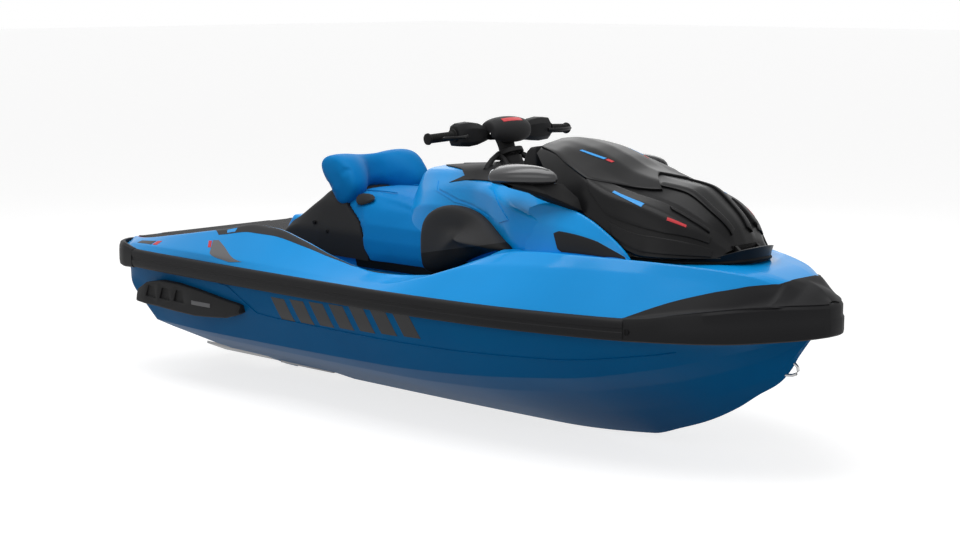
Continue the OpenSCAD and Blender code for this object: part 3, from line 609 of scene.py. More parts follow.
def shade(thing: Thing, angle: float = SMOOTH_ANGLE) -> None:
    """Smooths a mesh except across edges sharper than the angle."""
    thing.data.polygons.foreach_set("use_smooth", [True] * len(thing.data.polygons))
    thing.data.set_sharp_from_angle(angle=angle)
    thing.data.update()


def new_object(name: str, mesh: Mesh, weld_mm: float = 0.02) -> Thing:
    """Puts a mesh in the scene as an object."""
    made = bpy.data.objects.new(name, mesh.data(name, weld_mm))
    bpy.context.scene.collection.objects.link(made)
    return made


def cut(thing: Thing, tools: Sequence[Mesh]) -> None:
    """Cuts closed shapes out of an object.

    Args:
        thing: The object to cut.
        tools: Closed meshes to take away from it.
    """
    cutters = [new_object(f"{thing.name}_cutter_{i}", tool) for i, tool in enumerate(tools)]
    for cutter in cutters:
        step = thing.modifiers.new(cutter.name, "BOOLEAN")
        step.operation, step.solver, step.object = "DIFFERENCE", "EXACT", cutter
    settle(thing)
    for cutter in cutters:
        data = cutter.data
        bpy.data.objects.remove(cutter)
        bpy.data.meshes.remove(data)


def round_edges(thing: Thing, width_mm: float) -> None:
    """Rounds the sharp edges of an object, as a mould's corners are."""
    step = thing.modifiers.new("rounding", "BEVEL")
    step.width, step.segments, step.limit_method = width_mm * MM, 2, "ANGLE"
    step.angle_limit, step.harden_normals = math.radians(35), False
    settle(thing)


def smooth(thing: Thing, levels: int) -> None:
    """Rounds a whole object with a subdivision surface."""
    thing.modifiers.new("smooth skin", "SUBSURF").levels = levels
    settle(thing)


def place_piece(thing: Thing, finish: Finish, body: str = "craft", stands_for: Sequence[str] = (),
                angle: float = SMOOTH_ANGLE) -> Thing:
    """Gives a piece its finish and its body, and reports it.

    Args:
        thing: The finished mesh object.
        finish: What it is made of.
        body: The body it rides on.
        stands_for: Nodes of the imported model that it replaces.
        angle: Edges sharper than this stay sharp.

    Returns:
        The same object.
    """
    thing.data.materials.clear()
    thing.data.materials.append(finish.material())
    shade(thing, angle)
    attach(thing, body)
    if stands_for:
        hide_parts(*stands_for)
    LOG.info("%s: %d faces, %s, on %s", thing.name, len(thing.data.polygons), finish.name, body)
    return thing


def make(name: str, mesh: Mesh, finish: Finish, body: str = "craft", stands_for: Sequence[str] = (),
         rounding_mm: float = 0.0, subdivide: int = 0) -> Thing:
    """Makes one piece from a mesh.

    Args:
        name: The piece's name.
        mesh: Its shape.
        finish: Its finish.
        body: The body it rides on.
        stands_for: Nodes that it replaces.
        rounding_mm: Width of the rounding on sharp edges.
        subdivide: Levels of subdivision surface.

    Returns:
        The piece.
    """
    made = new_object(name, mesh)
    if subdivide:
        smooth(made, subdivide)
    if rounding_mm:
        round_edges(made, rounding_mm)
    return place_piece(made, finish, body, stands_for)


def on_both_sides(name: str, mesh: Mesh, finish: Finish, body: str = "craft", nodes: Sequence[str] = (),
                  rounding_mm: float = 0.0, subdivide: int = 0) -> None:
    """Makes a piece to port and its mirror image to starboard.

    Args:
        name: The name before the side's tag.
        mesh: The port shape.
        finish: Its finish.
        body: The body both ride on.
        nodes: Names before the side's tag of the nodes that each replaces.
        rounding_mm: Width of the rounding on sharp edges.
        subdivide: Levels of subdivision surface.
    """
    for side in Side:
        shape = mesh if side is Side.PORT else mesh.mirrored()
        make(f"{name}_{side.tag}", shape, finish, body, [f"{n}_{side.tag}" for n in nodes], rounding_mm,
             subdivide)


def applique(shell: Shell, one: Places, other: Places, lift_mm: float, across: int, along: int,
             sunk_mm: float = 1.5) -> Mesh:
    """A thin panel that lies on a shell, between two lines of places.

    Args:
        shell: What it lies on.
        one: Places (x, s) along one side.
        other: As many places along the other side.
        lift_mm: How far its face stands off the shell.
        across: Cells between the two sides.
        along: Cells between one place and the next.
        sunk_mm: How deep its underside sits in the shell.

    Returns:
        The panel as a closed mesh.
    """
    rows = []
    for i in range(len(one) - 1):
        for k in range(along + (1 if i == len(one) - 2 else 0)):
            u = k / along
            a = [one[i][c] + (one[i + 1][c] - one[i][c]) * u for c in (0, 1)]
            b = [other[i][c] + (other[i + 1][c] - other[i][c]) * u for c in (0, 1)]
            rows.append([(a[0] + (b[0] - a[0]) * v, a[1] + (b[1] - a[1]) * v)
                         for v in spread(0, 1, across + 1)])
    return patch(shell, rows, lift_mm, sunk_mm)


def patch(shell: Shell, places: Sequence[Places], lift_mm: float, sunk_mm: float) -> Mesh:
    """A thin panel that lies on a shell, given the places of its cells.

    Args:
        shell: What it lies on.
        places: Rows of places (x, s).
        lift_mm: How far its face stands off the shell.
        sunk_mm: How deep its underside sits in the shell.

    Returns:
        The panel as a closed mesh.
    """
    def sheet(off: float) -> Grid:
        """The panel's cells this far off the shell."""
        return [[shell.point(x, s) + shell.normal(x, s) * off for x, s in row] for row in places]

    return Mesh().plate(sheet(lift_mm), sheet(-sunk_mm))


@dataclass(frozen=True)
class Panel:
    """A thin panel that lies on a shell each side, given by places along two of its port edges.

    The cells are counted across it and between one place and the next, lift and sunk say how
    far its face stands off and its underside sits in, and nodes are named without the side.
    """

    name: str
    one: Places
    other: Places
    lift: float
    cells: tuple[int, int]
    finish: Finish
    sunk: float = 1.5
    rounding: float = 0.0
    nodes: tuple[str, ...] = ()

    def lay(self, shell: Shell, side: Side, body: str = "craft") -> None:
        """Makes the panel on one side.

        Args:
            shell: The skin that it lies on.
            side: The side of the craft.
            body: The body it rides on.
        """
        one, other = ([(x, s * side.value) for x, s in edge] for edge in (self.one, self.other))
        make(f"{self.name}_{side.tag}", applique(shell, one, other, self.lift, *self.cells, self.sunk),
             self.finish, body, [f"{n}_{side.tag}" for n in self.nodes], self.rounding)


def rod(a: Sequence[float], b: Sequence[float], radius: float, sides: int) -> Mesh:
    """A round bar with softened ends between two points."""
    start, end = Vector(a), Vector(b)
    along = (end - start).normalized()
    soft = min(radius * 0.25, 1.5)
    path = [start, start + along * soft, end - along * soft, end]
    return Mesh().tube(path, [radius - soft, radius, radius, radius - soft], sides)


def block(low: Sequence[float], high: Sequence[float]) -> Mesh:
    """A box between two corners, for cutting with."""
    (a, b, c), (d, e, f) = low, high
    return Mesh().prism([Vector((a, b, c)), Vector((d, b, c)), Vector((d, e, c)), Vector((a, e, c))],
                        Vector((0, 0, f - c)))


# ---------------------------------------------------------------- hull and deck
# The deck's edge in plan.
EDGE: Knots = [(-1630, 455), (-1600, 498), (-1500, 548), (-1200, 573), (-600, 593), (0, 600.9), (500, 573),
               (1000, 474), (1300, 342), (1500, 184), (1590, 96), (1622, 48), (1630, 26)]
# The height of the joint between hull and deck, the top of the deck's edge, and the bow's tip.
BOND, RAIL_TOP, BOW = 237.0, 274.0, 1630.0
# Sharper folds than this stay sharp on the large mouldings.
SHELL_ANGLE = math.radians(24)


def level(value: float) -> Knots:
    """A line that keeps one value all along."""
    return [(0.0, value)]


def outward(x: float) -> Vector:
    """The direction square to the deck's edge at x, in plan."""
    return Vector(((curve(EDGE, x - 1) - curve(EDGE, x + 1)) / 2, 1, 0)).normalized()


def upright(point: Vector, out: Vector, section: Places) -> list[Vector]:
    """A section stood up at a point: how far out and up from it each of its corners lies."""
    return [point + out * far + Vector((0, 0, up)) for far, up in section]


def edge_path(low: float, high: float, count: int) -> list[tuple[Vector, Vector]]:
    """Points on the deck's edge with the outward direction at each, in plan.

    Args:
        low: The aft end.
        high: The forward end.
        count: How many points, closer together towards the bow.

    Returns:
        Pairs of point and outward direction.
    """
    found = []
    for u in spread(0, 1, count):
        x = low + (high - low) * (1 - (1 - u) ** 1.6 if high > 1300 else u)
        out = Vector((3, 1, 0)).normalized() if x > BOW - 1 else outward(x)
        found.append((Vector((x, curve(EDGE, x), 0)), out))
    return found


@dataclass
class Hull:
    """The lower moulding: a deep V with two chines, the jet tunnel and the front storage well."""

    keel: Knots = ((-1450, -250), (-925, -260), (-140, -262), (444, -259), (895, -227), (1020, -187),
                   (1143, -140), (1262, -77), (1348, -18), (1433, 37), (1488, 103), (1520, 170), (1560, 212))
    strake_out: Knots = ((-1450, 190), (0, 214), (400, 198), (800, 148), (1100, 92), (1300, 50), (1560, 6))
    strake_up: Knots = ((-1450, -164), (0, -172), (400, -168), (800, -136), (1100, -72), (1300, 0),
                        (1450, 86), (1560, 214))
    chine_out: Knots = ((-1450, 385), (-1000, 425), (0, 430), (400, 400), (800, 300), (1100, 190),
                        (1300, 105), (1450, 45), (1560, 12))
    chine_up: Knots = ((-1450, -75), (0, -78), (400, -70), (800, -40), (1100, 15), (1300, 75), (1450, 140),
                       (1560, 217))
    lip_out: Knots = ((-1450, 455), (-1000, 500), (0, 512), (400, 492), (800, 406), (1100, 288), (1300, 178),
                      (1450, 82), (1560, 25))
    lip_up: Knots = ((-1450, -40), (0, -25), (800, 22), (1100, 75), (1300, 130), (1450, 180), (1560, 222))
    waist_out: Knots = ((-1450, 510), (-1000, 560), (0, 575), (400, 550), (800, 470), (1100, 350),
                        (1300, 240), (1450, 135), (1560, 50))
    waist_up: Knots = ((-1450, 110), (0, 105), (800, 110), (1100, 140), (1300, 175), (1450, 198),
                       (1560, 226))
    tunnel: Table = ((-1690, -102, -330), (-1140, 102, -4))
    transom_hole: Table = ((-1690, -132, -330), (-1395, 132, 66))
    duct: Places = ((-1141, -33), (-1141, -191), (-1060, -262), (-1060, -330), (-700, -330), (-700, -262),
                    (-960, -33))
    duct_half: float = 76.0
    edges: Panel = Panel(
        "panel_edge", ((-1000, 4.74), (-809, 4.59), (-650, 3.90), (-543, 3.86), (436, 3.80), (1200, 3.85)),
        ((-1000, 4.78), (-805, 4.63), (-644, 3.94), (-543, 3.90), (436, 3.84), (1210, 3.89)), 3.0, (2, 14),
        HULL_BLUE_AND_SHADE)

    @property
    def shell(self) -> Shell:
        """The hull's skin, keel first, with the raked transom in its shift."""

        def rake(x: float, up: float) -> float:
            """How far aft the leaning transom takes a point at this height."""
            return -0.667 * max(0.0, up + 70) * min(1.0, max(0.0, (-1100 - x) / 325))

        return Shell([Line(level(0), self.keel), Line(self.strake_out, self.strake_up, 0.10),
                      Line(self.chine_out, self.chine_up, 0.07), Line(self.lip_out, self.lip_up, 0.03),
                      Line(self.waist_out, self.waist_up, 0.22), Line(EDGE, level(BOND))], rake, -1)

    def build(self) -> None:
        """Makes the hull and opens the tunnel, the intake duct and the storage well in it."""
        shell = self.shell
        xs = in_runs((-1425, -1000, 18), (-1000, 900, 46), (900, 1400, 26), (1400, 1558, 18))
        thing = new_object("hull_moulding", Mesh().solid(shell.rows(xs, shell.places())))
        duct = Mesh().prism([Vector((x, -self.duct_half, z)) for x, z in self.duct],
                            Vector((0, 2 * self.duct_half, 0)))
        cut(thing, [block(*self.tunnel), block(*self.transom_hole), duct, storage_well()])
        place_piece(thing, HULL_BLUE_AND_SHADE, "craft", ["hull"], SHELL_ANGLE)

    def dress(self) -> None:
        """Adds the raised panel edge and the side bars."""
        shell = self.shell
        for side in Side:
            self.edges.lay(shell, side)
            self.side_bars(shell, side)

    def side_bars(self, shell: Shell, side: Side) -> None:
        """Seven plain slanted bars along the side, where such a craft carries its graphics."""
        k, lean, wide, pitch = side.value, 22, 80, 114
        bars = Mesh()
        for n in range(7):
            x, low, high = -515 + n * pitch, 3.88 + 0.03 * n, 4.54 + 0.035 * n
            bars.join(applique(shell, [(x + lean, k * low), (x - lean, k * high)],
                               [(x + wide + lean, k * low), (x + wide - lean, k * high)], 0.8, 8, 6))
        make(f"side_bars_{side.tag}", bars, BLACK_FILM)


def storage_well() -> Mesh:
    """The hole that the front storage bin drops into, with a little room round the bin.

    Returns:
        A closed shape to cut with.
    """
    gap, low, high = 0.6, 90.0, 470.0
    back, length, half = 700.0, 450.0, 170.0 + gap
    plan = [(back - gap, -half), (back - gap, half), (back + length * 0.7, half),
            (back + length + gap, half * 0.75), (back + length + gap, -half * 0.75),
            (back + length * 0.7, -half)]
    return Mesh().prism([Vector((x, y, low - gap)) for x, y in plan], Vector((0, 0, high - low + gap)))


@dataclass
class Deck:
    """The upper moulding: spine, footwells, gunwales and the bow deck."""

    spine_up: Knots = ((-1630, 300), (-1060, 300), (-940, 312), (-870, 400), (-840, 440), (1260, 440),
                       (1400, 430), (1514, 402), (1560, 372), (1622, 300), (1630, 290))
    spine_out: Knots = ((-1630, 300), (-1060, 300), (-1000, 262), (-900, 205), (-262, 205), (0, 222),
                        (300, 236), (500, 255), (1000, 230), (1200, 180), (1400, 110), (1514, 70),
                        (1622, 20), (1630, 10))
    well_out: Knots = ((-1630, 310), (-1060, 310), (-1000, 275), (-900, 216), (-262, 216), (0, 232),
                       (300, 246), (500, 290), (1000, 270), (1200, 215), (1400, 140), (1514, 92), (1622, 27),
                       (1630, 14))
    well_up: Knots = ((-1630, 298), (-1060, 298), (-1000, 266), (-900, 262), (250, 262), (350, 300),
                      (500, 440), (1260, 440), (1400, 428), (1514, 398), (1622, 297), (1630, 288))
    floor_out: Knots = ((-1630, 400), (-1500, 430), (-1060, 420), (-900, 400), (0, 395), (300, 385),
                        (620, 370), (1000, 320), (1200, 250), (1400, 163), (1514, 105), (1622, 33),
                        (1630, 17))
    floor_up: Knots = ((-1630, 298), (-1060, 298), (-1000, 266), (-900, 262), (250, 262), (350, 300),
                       (500, 440), (1260, 440), (1400, 426), (1514, 393), (1622, 294), (1630, 286))
    crest_out: Knots = ((-1630, 425), (-1500, 470), (-1200, 490), (-900, 470), (-770, 450), (-500, 460),
                        (-50, 480), (240, 470), (450, 440), (600, 410), (800, 400), (1050, 330), (1200, 270),
                        (1400, 182), (1514, 118), (1622, 38), (1630, 19))
    crest_up: Knots = ((-1630, 299), (-1500, 310), (-1250, 350), (-930, 408), (-770, 440), (-640, 436),
                       (-470, 402), (-280, 352), (-50, 316), (240, 335), (450, 410), (610, 450), (800, 460),
                       (1050, 455), (1200, 446), (1400, 425), (1514, 383), (1622, 290), (1630, 284))
    brow_out: Knots = ((-1630, 440), (-1500, 525), (-1200, 560), (-900, 577), (-400, 575), (-110, 572),
                       (220, 545), (460, 485), (800, 440), (1050, 365), (1200, 298), (1400, 206),
                       (1514, 138), (1622, 42), (1630, 22))
    brow_up: Knots = ((-1630, 288), (-1500, 292), (-1200, 300), (-900, 303), (-400, 296), (-110, 286),
                      (50, 290), (220, 325), (460, 392), (800, 412), (1050, 412), (1200, 404), (1400, 386),
                      (1514, 360), (1622, 284), (1630, 280))
    graphics: tuple[Panel, ...] = (
        Panel("crest_stripe", ((-1000, 4.03), (-700, 4.04), (-430, 4.06), (-150, 4.03)),
              ((-950, 4.30), (-720, 4.30), (-450, 4.24), (-175, 4.10)), 0.8, (6, 14), BLACK_FILM),
        Panel("crest_stripe_tab", ((-915, 4.14), (-860, 4.14)), ((-905, 4.26), (-860, 4.26)), 1.3, (3, 4),
              BLUE_FILM),
        Panel("step_insert", ((-960, 4.50), (-925, 4.50), (-715, 5.25)),
              ((-925, 4.98), (-880, 5.22), (-790, 5.55)), 1.2, (6, 8), GREY_FILM),
        Panel("step_insert_tip", ((-985, 4.52), (-966, 4.52)), ((-962, 4.76), (-944, 4.76)), 1.4, (3, 3),
              RED_FILM),
        Panel("quarter_bar", ((-1470, 4.55), (-1350, 4.55)), ((-1480, 4.90), (-1360, 4.90)), 0.8, (3, 6),
              BLACK_FILM),
        Panel("quarter_bar_tip", ((-1340, 4.55), (-1305, 4.55)), ((-1350, 4.90), (-1315, 4.90)), 0.8, (3, 3),
              RED_FILM),
        Panel("deck_line", ((-1600, 3.72), (-1200, 3.74), (-1050, 3.8)),
              ((-1600, 3.80), (-1200, 3.82), (-1050, 3.86)), 1.0, (2, 12), RED_FILM))
    foam: Panel = Panel("footwell_foam", ((-880, 2.24), (140, 2.24)), ((-880, 2.92), (140, 2.92)), 6.0,
                        (6, 30), DECK_FOAM, 0.5, 1.5, ("footwell_mat",))

    @property
    def shell(self) -> Shell:
        """The deck's skin from the centreline out to the rail."""
        return Shell([Line(level(0), self.spine_up), Line(self.spine_out, self.spine_up, 0.12),
                      Line(self.well_out, self.well_up, 0.10), Line(self.floor_out, self.floor_up, 0.22),
                      Line(self.crest_out, self.crest_up, 0.16), Line(self.brow_out, self.brow_up, 0.14),
                      Line(EDGE, level(RAIL_TOP))])

    def build(self) -> None:
        """Makes the deck with its underside on the bond line, open at the storage well."""
        shell = self.shell
        xs = in_runs((-1630, -1480, 10), (-1480, -600, 48), (-600, 700, 64), (700, 1400, 36),
                     (1400, 1622, 20))
        rows = shell.rows(xs, shell.places())
        for row in rows:
            row.insert(0, Vector((row[0].x, row[0].y, BOND + 0.3)))
            row.append(Vector((row[-1].x, row[-1].y, BOND + 0.3)))
        thing = new_object("deck_moulding", Mesh().solid(rows))
        cut(thing, [storage_well()])
        place_piece(thing, DECK_BLUE, "craft", ["deck"], SHELL_ANGLE)

    def dress(self) -> None:
        """Adds the plain stripes, the grey step inserts and the grooved mats."""
        shell = self.shell
        for side in Side:
            for panel in self.graphics:
                panel.lay(shell, side)
        edges = ([(-1600, s), (-1066, s)] for s in (-3.66, 3.66))
        rear = applique(shell, *edges, 6.0, 40, 20, 0.5)
        make("rear_platform_mat", rear, DECK_FOAM, stands_for=["rear_deck_mat"], rounding_mm=1.5)
        for side in Side:
            self.foam.lay(shell, side)


@dataclass
class Bumpers:
    """The rub rails, the bow bumper with its cap over the deck, and the stern corners."""

    rail_profile: Places = ((0.5, 199), (0.5, 275), (11, 276), (19, 273), (24.5, 266), (26, 258), (26, 246),
                            (24, 243.5), (24, 232.5), (26, 230), (26, 219), (24.5, 209), (19, 202),
                            (12, 199.5))
    face_top: Knots = ((1106, 276), (1180, 284), (1260, 298), (1345, 312), (1450, 326), (1560, 333),
                       (1630, 334))
    face_low: Knots = ((1106, 199), (1400, 203), (1560, 214), (1630, 224))
    ledge: Knots = ((1106, 0), (1190, 0), (1250, 8), (1400, 12), (1630, 12))
    thick: Knots = ((1104, 22), (1400, 28), (1540, 22), (1630, 22))
    cap_start: Knots = ((1106, 6), (1227, 5.57), (1334, 5.25), (1405, 5.02), (1465, 4.43), (1496, 3.8),
                        (1507, 3), (1511, 2), (1514, 0))
    cap_ridge: Knots = ((1500, 407), (1514, 405), (1580, 382), (1630, 340))
    whole_cap_from: float = 1512.0
    screw_x: float = 1128.0

    def build(self, shell: Shell) -> None:
        """Makes every rail and bumper.

        Args:
            shell: The deck's skin, which they follow.
        """
        rail = [upright(p, out, self.rail_profile) for p, out in edge_path(-1440, 1108, 90)]
        on_both_sides("rub_strip", Mesh().solid(rail), RAIL_RUBBER, nodes=["rub_rail"])
        self.face()
        self.cap(shell)
        y = curve(EDGE, self.screw_x) + 19
        button = [Vector((self.screw_x, y + out, 232)) for out in (0, 6, 7.5, 7.6, 5)]
        on_both_sides("bumper_screw", Mesh().tube(button, [11, 11, 9, 5, 4], 20), SHADED_ABS)
        self.stern()

    def face(self) -> None:
        """The bumper's face, from one side round the bow to the other."""
        port = [upright(p, out, self.face_section(p.x)) for p, out in edge_path(1104, BOW, 64)]
        tip = [[Vector((q.x + 1.2, 0, q.z)) for q in port[-1]]]
        starboard = [flipped(row) for row in reversed(port)]
        make("bow_bumper_face", Mesh().solid(port + tip + starboard), RAIL_RUBBER, stands_for=["bow_bumper"])

    def face_section(self, x: float) -> Places:
        """The section of the face, from its lower root round to its upper one.

        Args:
            x: The section's station.

        Returns:
            Corners of how far out and up.
        """
        lines = (self.face_top, self.face_low, self.ledge, self.thick)
        top, low, ledge, thick = (curve(line, x) for line in lines)
        mid = low + (top - low) * 0.52
        return [(-6, low + 6), (thick - 9, low), (thick - 2, low + 5), (thick, low + 14), (thick, mid),
                (thick - ledge * 0.4, mid + 8), (thick - ledge * 0.4, top - 12),
                (thick - 4 - ledge * 0.6, top - 2), (thick - 10 - ledge * 0.8, top + 2), (-8, top - 6)]

    def cap(self, shell: Shell) -> None:
        """The cap that laps over the deck, whole across the bow's tip.

        Args:
            shell: The deck's skin.
        """
        top = Mesh().grid([self.cap_row(shell, x, 16) for x in spread(1106, BOW, 70)])
        thing = new_object("bow_bumper_cap", Mesh().join(top).join(top.mirrored()), 0.5)
        step = thing.modifiers.new("thickness", "SOLIDIFY")
        step.thickness, step.offset = 7 * MM, -1
        settle(thing)
        place_piece(thing, RAIL_RUBBER)

    def cap_row(self, shell: Shell, x: float, count: int) -> list[Vector]:
        """One row of the cap, from its inner border to the top of the face.

        Args:
            shell: The deck's skin.
            x: The row's station.
            count: Cells across.

        Returns:
            The row's points.
        """
        out = outward(min(x, 1628))
        rim = Vector((x, curve(EDGE, x), curve(self.face_top, x) + 2))
        rim += out * (10 + curve(self.ledge, x) * 0.1)
        past = x - self.whole_cap_from
        inner = 0.0 if past >= 0 else curve(self.cap_start, x)
        row = []
        for v in spread(0, 1, count + 1):
            s = inner + (6 - inner) * v
            floor = shell.point(x, s)
            on_deck = floor + shell.normal(x, s) * 6.0
            if past > 0:
                ridge = Vector((x, 0, curve(self.cap_ridge, x)))
                swell = mix(ridge, rim, v) + Vector((0, 0, 10 * math.sin(math.pi * v) * (1 - past / 160)))
                on_deck = mix(on_deck, swell, min(1.0, past / 30))
                on_deck.z = max(on_deck.z, floor.z + 7)
            pull = max(0.0, (v - 0.55) / 0.45)
            row.append(mix(on_deck, rim, pull * pull * (3 - 2 * pull)))
        return row

    def stern(self) -> None:
        """Soft corner bumpers that wrap from the side on to the transom."""
        path = edge_path(-1440, -1624, 30)
        corner = Vector((-1631, 448, 0))
        turn = [(mix(path[-1][0], corner, t), Vector((-math.sin(t * 1.4), math.cos(t * 1.4), 0)))
                for t in (0.5, 1)]
        across = [(Vector((-1631, y, 0)), Vector((-1, 0, 0))) for y in (420, 390, 360, 330)]
        rows = []
        for p, out in path + turn + across:
            grow = min(1.0, max(0.0, (-1440 - p.x) / 90))
            rows.append(upright(p, out, (
                (0, 198 - 6 * grow), (0, 276 + 16 * grow), (10, 278 + 16 * grow), (20, 274 + 14 * grow),
                (25.5, 264 + 8 * grow), (27, 250), (27, 214), (25, 203 - 4 * grow), (16, 197 - 5 * grow))))
        on_both_sides("stern_corner", Mesh().solid(rows), RAIL_RUBBER, nodes=["stern_bumper"])


# ---------------------------------------------------------------- body ahead of the seat
@dataclass
class TankCover:
    """The tall blue body between the rider's knees, with its black cowl and knee pads."""

    ridge_up: Knots = ((-260, 570), (-236, 628), (-200, 662), (-150, 676), (38, 692), (200, 706), (330, 700),
                       (400, 690), (500, 640), (640, 590))
    top_out: Knots = ((-260, 18), (-236, 44), (-200, 72), (-150, 96), (-60, 116), (38, 124), (200, 130),
                      (300, 140), (400, 150), (640, 160))
    shoulder_out: Knots = ((-260, 50), (-236, 88), (-200, 122), (-150, 150), (-60, 184), (38, 202),
                           (200, 226), (300, 262), (400, 296), (500, 322), (640, 325))
    shoulder_up: Knots = ((-260, 505), (-216, 568), (-100, 596), (38, 618), (200, 634), (300, 634),
                          (400, 616), (500, 585), (640, 550))
    crease_out: Knots = ((-260, 90), (-236, 130), (-200, 165), (-100, 215), (38, 237), (200, 244),
                         (300, 262), (400, 300), (500, 328), (640, 328))
    crease_up: Knots = ((-260, 450), (-150, 520), (0, 548), (150, 548), (300, 530), (400, 512), (500, 505),
                        (640, 500))
    foot_out: Knots = ((-260, 120), (-200, 190), (-100, 232), (0, 243), (300, 243), (400, 290), (500, 326),
                       (640, 326))
    panels: tuple[Panel, ...] = (
        Panel("tank_panel_edge", ((-40, 1.70), (-10, 2.20), (120, 2.75), (330, 2.95)),
              ((-32, 1.66), (-2, 2.16), (124, 2.71), (330, 2.90)), 2.0, (2, 12), DECK_BLUE),
        Panel("tank_side_panel", ((-20, 1.66), (10, 2.12), (150, 2.62), (420, 2.86)),
              ((330, 1.86), (380, 2.05), (420, 2.30), (480, 2.60)), 3.0, (14, 10), DECK_BLUE, 1.0))
    pad_outline: Places = ((-20, 455), (-8, 500), (26, 534), (80, 556), (140, 564), (214, 560), (290, 538),
                           (366, 506), (440, 474), (505, 448), (514, 438), (500, 430), (420, 424),
                           (331, 404), (240, 370), (160, 328), (90, 300), (30, 296), (-4, 322), (-16, 400))

    @property
    def shell(self) -> Shell:
        """The cover's skin from its ridge down to the deck."""
        return Shell([Line(level(0), self.ridge_up), Line(self.top_out, raised(self.ridge_up, -6), 0.34),
                      Line(self.shoulder_out, self.shoulder_up, 0.20),
                      Line(self.crease_out, self.crease_up, 0.10),
                      Line(self.foot_out, level(441))])

    def build(self) -> None:
        """Makes the cover, its cowl and the pads."""
        shell = self.shell
        rows = shell.rows(in_runs((-258, -150, 14), (-150, 640, 56)), shell.places(5, 4))
        make("tank_body", Mesh().solid(rows), DECK_BLUE, stands_for=["tank_cover"])
        self.cowl(shell)
        for side in Side:
            for panel in self.panels:
                panel.lay(shell, side)
        self.pads()

    def cowl(self, shell: Shell) -> None:
        """The black cover round the foot of the steering, with its three points towards the rider."""
        tips = [(50, 1.82), (112, 1.50), (60, 1.10), (-60, 0.72), (-108, 0.45), (-8, 0.08)]
        front = [(300, 1.64), (400, 1.50), (405, 1.10), (405, 0.72), (405, 0.45), (405, 0.08)]
        tips, front = ([(x, -s) for x, s in edge] + edge[::-1] for edge in (tips, front))
        make("steering_cowl", applique(shell, tips, front, 5.0, 18, 6, 2.0), TRIM_ABS, rounding_mm=1.0)

    def pads(self) -> None:
        """Deep knee pads: a charcoal face whose down-turned lower part is painted black as shade."""
        base, heart = 244.0, (190, 450)
        rings: Grid = []
        for share, out in ((1.0, 0), (1.0, 24), (0.965, 44), (0.86, 56), (0.55, 62), (0.2, 63)):
            splay = -0.10 if out else 0.0
            ring = []
            for (x, z), (px, pz) in zip(self.pad_outline, scaled(self.pad_outline, heart, share)):
                foot = max(0.0, curve(self.foot_out, x) - 243) * 0.9
                ring.append(Vector((px, base + out + splay * (z - 440) + foot, pz)))
            rings.append(ring)
        pad = Mesh().solid(rings)
        for side in Side:
            made = new_object(f"knee_cushion_{side.tag}", pad if side is Side.PORT else pad.mirrored())
            smooth(made, 2)
            low, tilt = Vector((0.025, 0, 0.376)), Vector((-0.19, 0, 1)).normalized()
            work = bmesh.new()
            work.from_mesh(made.data)
            bmesh.ops.bisect_plane(work, geom=work.verts[:] + work.edges[:] + work.faces[:], plane_co=low,
                                   plane_no=tilt)
            work.to_mesh(made.data)
            work.free()
            place_piece(made, PAD_VINYL, "craft", [f"knee_pad_{side.tag}"])
            # Painted shade: faces below the tilted plane take the blacker ABS, where the pad turns down.
            made.data.materials.append(SHADED_ABS.material())
            for facet in made.data.polygons:
                facet.material_index = 1 if (facet.center - low).dot(tilt) < 0 else 0


